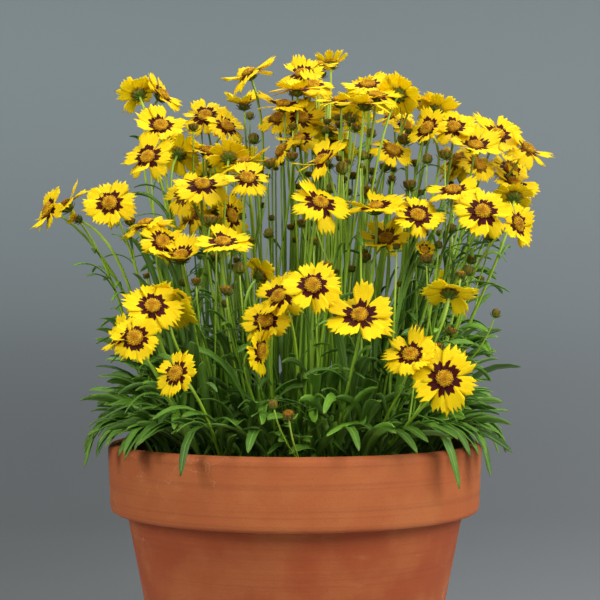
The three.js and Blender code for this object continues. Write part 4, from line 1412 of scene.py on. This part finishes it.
CRUMB_CORNERS = np.array([[1, 0, 0], [0, 1, 0], [-1, 0, 0], [0, -1, 0], [0, 0, 1], [0, 0, -1]], float)
CRUMB_FACES = np.array(
    [[k, (k + 1) % 4, 4] for k in range(4)] + [[(k + 1) % 4, k, 5] for k in range(4)]
)


class COREOPSIS_OT_make_soil(bpy.types.Operator):
    """Fills the pot with crumbly potting mix"""

    bl_idname = "coreopsis.make_soil"
    bl_label = "Make Soil"

    def execute(self, context):
        settings = settings_of(context, "soil")
        material = soil_material(settings)
        draw = stream("soil")
        slope = (INNER_TOP_RADIUS - INNER_BASE_RADIUS) / (POT_HEIGHT - LIP_ROUND - BASE_THICKNESS)
        outer = INNER_BASE_RADIUS + slope * (SOIL_TOP - BASE_THICKNESS) - 1
        foot = BASE_THICKNESS + SEAT_GAP
        profile = [(1, foot), (INNER_BASE_RADIUS - 2, foot + 2), (outer, SOIL_TOP - 3)]
        profile += [(outer * share, SOIL_TOP) for share in SOIL_RINGS]
        bed = Shape()
        add_mound(bed, profile, SOIL_SIDES, SOIL_UNEVENNESS, draw, tone=0.3)
        make_piece("soil_bed", bed, material, "potting_soil", "soil")
        crumbs = Shape()
        for _ in range(settings.crumbs):
            distance = mix(CROWN_RADIUS - 6, outer - 3, draw())
            turn = 2 * math.pi * draw()
            size = settings.crumb / MM * mix(0.2, 0.6, draw() ** 2)
            stretch = size * np.array([[mix(0.6, 1.3, draw()) for _ in range(3)] for _ in range(6)])
            centre = polar(distance, turn, SOIL_TOP + 0.3 * size)
            twist = draw() * math.pi
            cos, sin = math.cos(twist), math.sin(twist)
            x, y, z = (CRUMB_CORNERS * stretch).T
            local = np.stack([x * cos - y * sin, x * sin + y * cos, z], -1)
            crumbs.add(centre + local, tris=CRUMB_FACES, tone=draw() ** 1.5)
        make_piece("soil_crumbs", crumbs, material, "potting_soil", "soil")
        return {"FINISHED"}


class COREOPSIS_OT_make_stems(bpy.types.Operator):
    """Grows the flower stems, the side branches and the stems of the spent heads"""

    bl_idname = "coreopsis.make_stems"
    bl_label = "Make Stems"

    def execute(self, context):
        settings = settings_of(context, "green")
        draw = stream("tubes")
        root, tip = settings.root_radius / MM, settings.tip_radius / MM
        shape = Shape()
        for curve in all_stems():
            place, path = short_of_end(curve, CALYX_DEPTH, 17)
            radii = mix(root, tip, place) * mix(0.9, 1.15, draw())
            add_tube(shape, path, radii, STEM_SIDES, along=place, tone=draw())
        for bud, curve in zip(BUDS, all_branches()):
            place, path = short_of_end(curve, 0.3 * bud[3], 12)
            radii = mix(0.75, 0.62, place)
            add_tube(shape, path, radii, THIN_STEM_SIDES, along=mix(0.5, 1, place), tone=draw())
        for index in range(SPENT_STEMS):
            curve, size = spent_stem(index)
            place, path = short_of_end(curve, 0.3 * size, 13)
            radii = mix(0.9 * root, 0.8 * tip, place)
            add_tube(shape, path, radii, THIN_STEM_SIDES, along=place, tone=draw())
        make_piece("stems", shape, stem_material(settings), "leaf_green", "clump")
        return {"FINISHED"}


class COREOPSIS_OT_make_leaves(bpy.types.Operator):
    """Grows the leaves, from the short shoots of the crown to those that hang over the lip"""

    bl_idname = "coreopsis.make_leaves"
    bl_label = "Make Leaves"

    def execute(self, context):
        settings = settings_of(context, "green")
        material = leaf_material(settings)
        large = Shape()
        for index in range(LEAF_COUNT):
            draw = stream("leaf_form", index)
            width = 0.86 * mix(8.5, 12.5, draw())
            roll = sway(draw, 0.7)
            add_leaf(large, leaf_path(leaf_curve(index)), width, roll, draw, draw())
        make_piece("leaves", large, material, "leaf_green", "clump")
        self.fill_clump(material)
        self.hang_leaves(material)
        self.dress_stems(material)
        self.make_crown(material)
        return {"FINISHED"}

    def fill_clump(self, material):
        """Leaves at the edge of the pot, among the large ones, and the short shoots of the crown."""
        for order, (name, kind) in enumerate(FILLING_LEAVES.items()):
            count, spread, reach, height, widths, light, thin = kind
            shape = Shape()
            draw = stream("filling", 10 * order)
            for index in range(count):
                curve = filling_leaf_curve(index, count, draw, spread, reach, height)
                width = mix(*widths, draw())
                facing = -curve[0][1] / CROWN_RADIUS
                if draw() < thin * max(facing, 0):
                    continue
                add_leaf(shape, leaf_path(curve), width, sway(draw, 1.8), draw, light * draw())
            make_piece(name, shape, material, "leaf_green", "clump")

    def hang_leaves(self, material):
        """Leaves that bend over the lip of the pot."""
        shape = Shape()
        draw = stream("hanging")
        rows = list(HANGING_LEAVES)
        for start, end in SPILLING_ARCS:
            for heading in np.linspace(start, end, SPILLS):
                rows.append((heading + sway(draw, 5), mix(264, 281, draw()), mix(8, 12, draw())))
        for heading, tip_height, width in rows:
            path = hanging_leaf_path(heading, tip_height, draw)
            add_leaf(shape, path, width, sway(draw, 0.3), draw, mix(0.2, 0.8, draw()), 0.2)
        make_piece("hanging_leaves", shape, material, "leaf_green", "clump")

    def dress_stems(self, material):
        """Leaves on the lower stems, and narrower ones further up."""
        stems = all_stems()
        outer = [curve for curve in stems if math.hypot(curve[0][0], curve[0][1]) > OUTER_ROOTS]
        for order, (name, (count, places, lengths, widths)) in enumerate(STEM_LEAVES.items()):
            shape = Shape()
            draw = stream("dressing", 10 * order)
            for _ in range(count):
                choice = outer if draw() < 0.7 else stems
                curve = choice[int(draw() * len(choice))]
                place = mix(*places, draw() ** 1.3)
                curve = stem_leaf_curve(curve, place, draw, mix(*lengths, draw()))
                width = mix(*widths, draw())
                add_leaf(shape, leaf_path(curve), width, sway(draw, 1.8), draw, mix(0.1, 1, draw()))
            make_piece(name, shape, material, "leaf_green", "clump")

    def make_crown(self, material):
        """The low mound that the shoots stand in."""
        shape = Shape()
        draw = stream("crown")
        # painted shade: the crown takes the darkest leaf colour, so the gaps between the shoots read dark
        values = {"along": 0.5, "across": 0.5, "tone": 0.0}
        add_mound(shape, CROWN_PROFILE, CROWN_SIDES, CROWN_UNEVENNESS, draw, **values)
        make_piece("crown", shape, material, "leaf_green", "clump")


class COREOPSIS_OT_make_buds(bpy.types.Operator):
    """Sets the buds and spent heads on their branches"""

    bl_idname = "coreopsis.make_buds"
    bl_label = "Make Buds"

    def execute(self, context):
        green, seeds = Shape(), Shape()
        heads = [(curve, bud[3]) for bud, curve in zip(BUDS, all_branches())]
        heads += [spent_stem(index) for index in range(SPENT_STEMS)]
        for index, (curve, diameter) in enumerate(heads):
            add_head(green, seeds, diameter, curve, index)
        make_piece("buds", green, bract_material(), "leaf_green", "clump")
        make_piece("seed_heads", seeds, floret_material(), "leaf_green", "clump")
        return {"FINISHED"}


class COREOPSIS_OT_make_blooms(bpy.types.Operator):
    """Opens every bloom: rays, disc florets and the calyx behind them"""

    bl_idname = "coreopsis.make_blooms"
    bl_label = "Make Blooms"

    def execute(self, context):
        rays_finish = ray_material(settings_of(context, "bloom"))
        disc_finish = floret_material()
        calyces = Shape()
        index = 0
        for name, rows in BLOOMS.items():
            rays, discs = Shape(), Shape()
            for place, bloom in enumerate(rows):
                dull = DULL_BLOOMS.get((name, place), 0.0)
                add_rays(rays, bloom, index, dull)
                size = bloom_scale(bloom)
                centre = bloom_centre(bloom)
                draw = stream("disc", index)
                radius, rise = DISC_RADIUS * size, DISC_RISE * size
                add_disc(discs, centre, bloom_axes(bloom), radius, rise, draw, dull)
                add_calyx(calyces, bloom, index)
                index += 1
            make_piece(f"rays_{name}", rays, rays_finish, "petal_yellow", f"bloom_{name}")
            make_piece(f"disc_{name}", discs, disc_finish, "petal_yellow", f"bloom_{name}")
        make_piece("calyces", calyces, bract_material(), "leaf_green", "clump")
        return {"FINISHED"}


class COREOPSIS_OT_make_stage(bpy.types.Operator):
    """Lays the pale floor, hangs the soft lights and sets the camera"""

    bl_idname = "coreopsis.make_stage"
    bl_label = "Make Stage"

    def execute(self, context):
        settings = settings_of(context, "stage")
        self.lay_floor(settings)
        for name, (place, aim_height, size) in LIGHTS.items():
            self.add_light(name, place, aim_height, size, getattr(settings, f"{name}_power"))
        world = bpy.data.worlds.new("soft_room")
        world.use_nodes = True
        room = world.node_tree.nodes["Background"].inputs
        room["Color"].default_value = tint(232, 236, 240)
        room["Strength"].default_value = settings.room_light
        context.scene.world = world
        context.scene.view_settings.view_transform = "Standard"
        camera = bpy.data.cameras.new("camera")
        camera.lens = settings.lens
        camera.sensor_width = SENSOR_WIDTH
        seen_from = new_object("camera", camera)
        seen_from.location = CAMERA_PLACE
        seen_from.rotation_euler = (math.radians(CAMERA_PITCH), 0, 0)
        context.scene.camera = seen_from
        return {"FINISHED"}

    def lay_floor(self, settings):
        """A round floor, pale where the pot stands, that sweeps up into a grey wall."""
        flat = WALL_RADIUS - WALL_BEND
        profile = [(0.001, 0.0), (0.6, 0.0), (1.1, 0.0), (flat, 0.0)]
        for angle in np.linspace(0.1, math.pi / 2, 12):
            profile.append((flat + WALL_BEND * math.sin(angle), WALL_BEND - WALL_BEND * math.cos(angle)))
        profile.append((WALL_RADIUS, WALL_TOP))
        profile = np.array(profile)
        rings = turned_grid(profile[:, :1], profile[:, 1:], FLOOR_SIDES)
        mesh = bpy.data.meshes.new("floor")
        faces = grid_quads(len(profile), FLOOR_SIDES, True)
        mesh.from_pydata(rings.reshape(-1, 3).tolist(), [], faces.tolist())
        mesh.polygons.foreach_set("use_smooth", [True] * len(faces))
        mesh.materials.append(self.floor_material(settings))
        floor = new_object("floor", mesh)

    def floor_material(self, settings):
        """A pale pool of floor round the pot, and grey ground and wall beyond it, with painted light and
        shade on the grey: lighter up the wall and towards the right, darker on the ground near the pool.
        """
        finish = Finish("floor")
        place = finish.node("ShaderNodeSeparateXYZ", {0: finish.place()}).outputs
        flat = finish.node("ShaderNodeCombineXYZ", {0: place["X"], 1: place["Y"]}).outputs[0]
        out = finish.node("ShaderNodeVectorMath", {0: flat}, operation="LENGTH").outputs["Value"]
        # painted light: the wall is painted lighter towards the top
        rise = finish.step(place["Z"], -0.3, 1.3)
        grey = finish.blend(rise, tuple(settings.wall_colour), tint(157, 168, 170))
        # painted shade: the grey ground is painted darker near the pale pool than farther out
        lying = finish.inverse(finish.step(place["Z"], 0.0, 0.45))
        ground = finish.blend(finish.step(out, 0.5, 2.4), tint(88, 90, 90), tint(103, 105, 106))
        grey = finish.blend(lying, grey, ground)
        # painted light: the grey is painted lighter towards the right
        grey = finish.stain(grey, finish.step(place["X"], -0.6, 1.1), 0.24, 172, 178, 182)
        colour = finish.blend(finish.step(out, 0.32, 0.56), tuple(settings.floor_colour), grey)
        colour = finish.stain(colour, finish.mottle(1.5, 0.3, 0.7), 0.05, 150, 152, 152)
        return finish.surface(colour, 0.9)

    def add_light(self, name, place, aim_height, size, power):
        """A square soft light at a place, turned to a height on the pot's axis."""
        light = bpy.data.lights.new(name, "AREA")
        light.size = size
        light.energy = power
        lamp = new_object(name, light)
        aim = np.array([0, 0, aim_height]) - np.array(place)
        flat = math.hypot(aim[0], aim[1])
        lamp.location = place
        lamp.rotation_euler = (math.atan2(flat, -aim[2]), 0, math.atan2(aim[1], aim[0]) - math.pi / 2)


OPERATORS = (
    COREOPSIS_OT_make_pot, COREOPSIS_OT_make_soil, COREOPSIS_OT_make_stems, COREOPSIS_OT_make_leaves,
    COREOPSIS_OT_make_buds, COREOPSIS_OT_make_blooms, COREOPSIS_OT_make_stage,
)


class COREOPSIS_PT_sidebar(bpy.types.Panel):
    """Lists the pieces of the potted plant and their settings"""

    bl_idname = "COREOPSIS_PT_sidebar"
    bl_label = "Potted Coreopsis"
    bl_space_type = "VIEW_3D"
    bl_region_type = "UI"
    bl_category = "Coreopsis"

    def draw(self, context):
        for operator in OPERATORS:
            self.layout.operator(operator.bl_idname)
        for part, group in SETTINGS.items():
            box = self.layout.box()
            box.label(text=part.title())
            for key in group.__annotations__:
                box.prop(settings_of(context, part), key)


def register():
    for group in SETTINGS.values():
        bpy.utils.register_class(group)
    for part, group in SETTINGS.items():
        setattr(bpy.types.Scene, f"coreopsis_{part}", PointerProperty(type=group))
    for item in (*OPERATORS, COREOPSIS_PT_sidebar):
        bpy.utils.register_class(item)


def unregister():
    for item in reversed((*OPERATORS, COREOPSIS_PT_sidebar)):
        bpy.utils.unregister_class(item)
    for part, group in SETTINGS.items():
        delattr(bpy.types.Scene, f"coreopsis_{part}")
        bpy.utils.unregister_class(group)


def main():
    register()
    bpy.ops.coreopsis.make_pot()
    bpy.ops.coreopsis.make_soil()
    bpy.ops.coreopsis.make_stems()
    bpy.ops.coreopsis.make_leaves()
    bpy.ops.coreopsis.make_buds()
    bpy.ops.coreopsis.make_blooms()
    bpy.ops.coreopsis.make_stage()


if __name__ == "__main__":
    main()
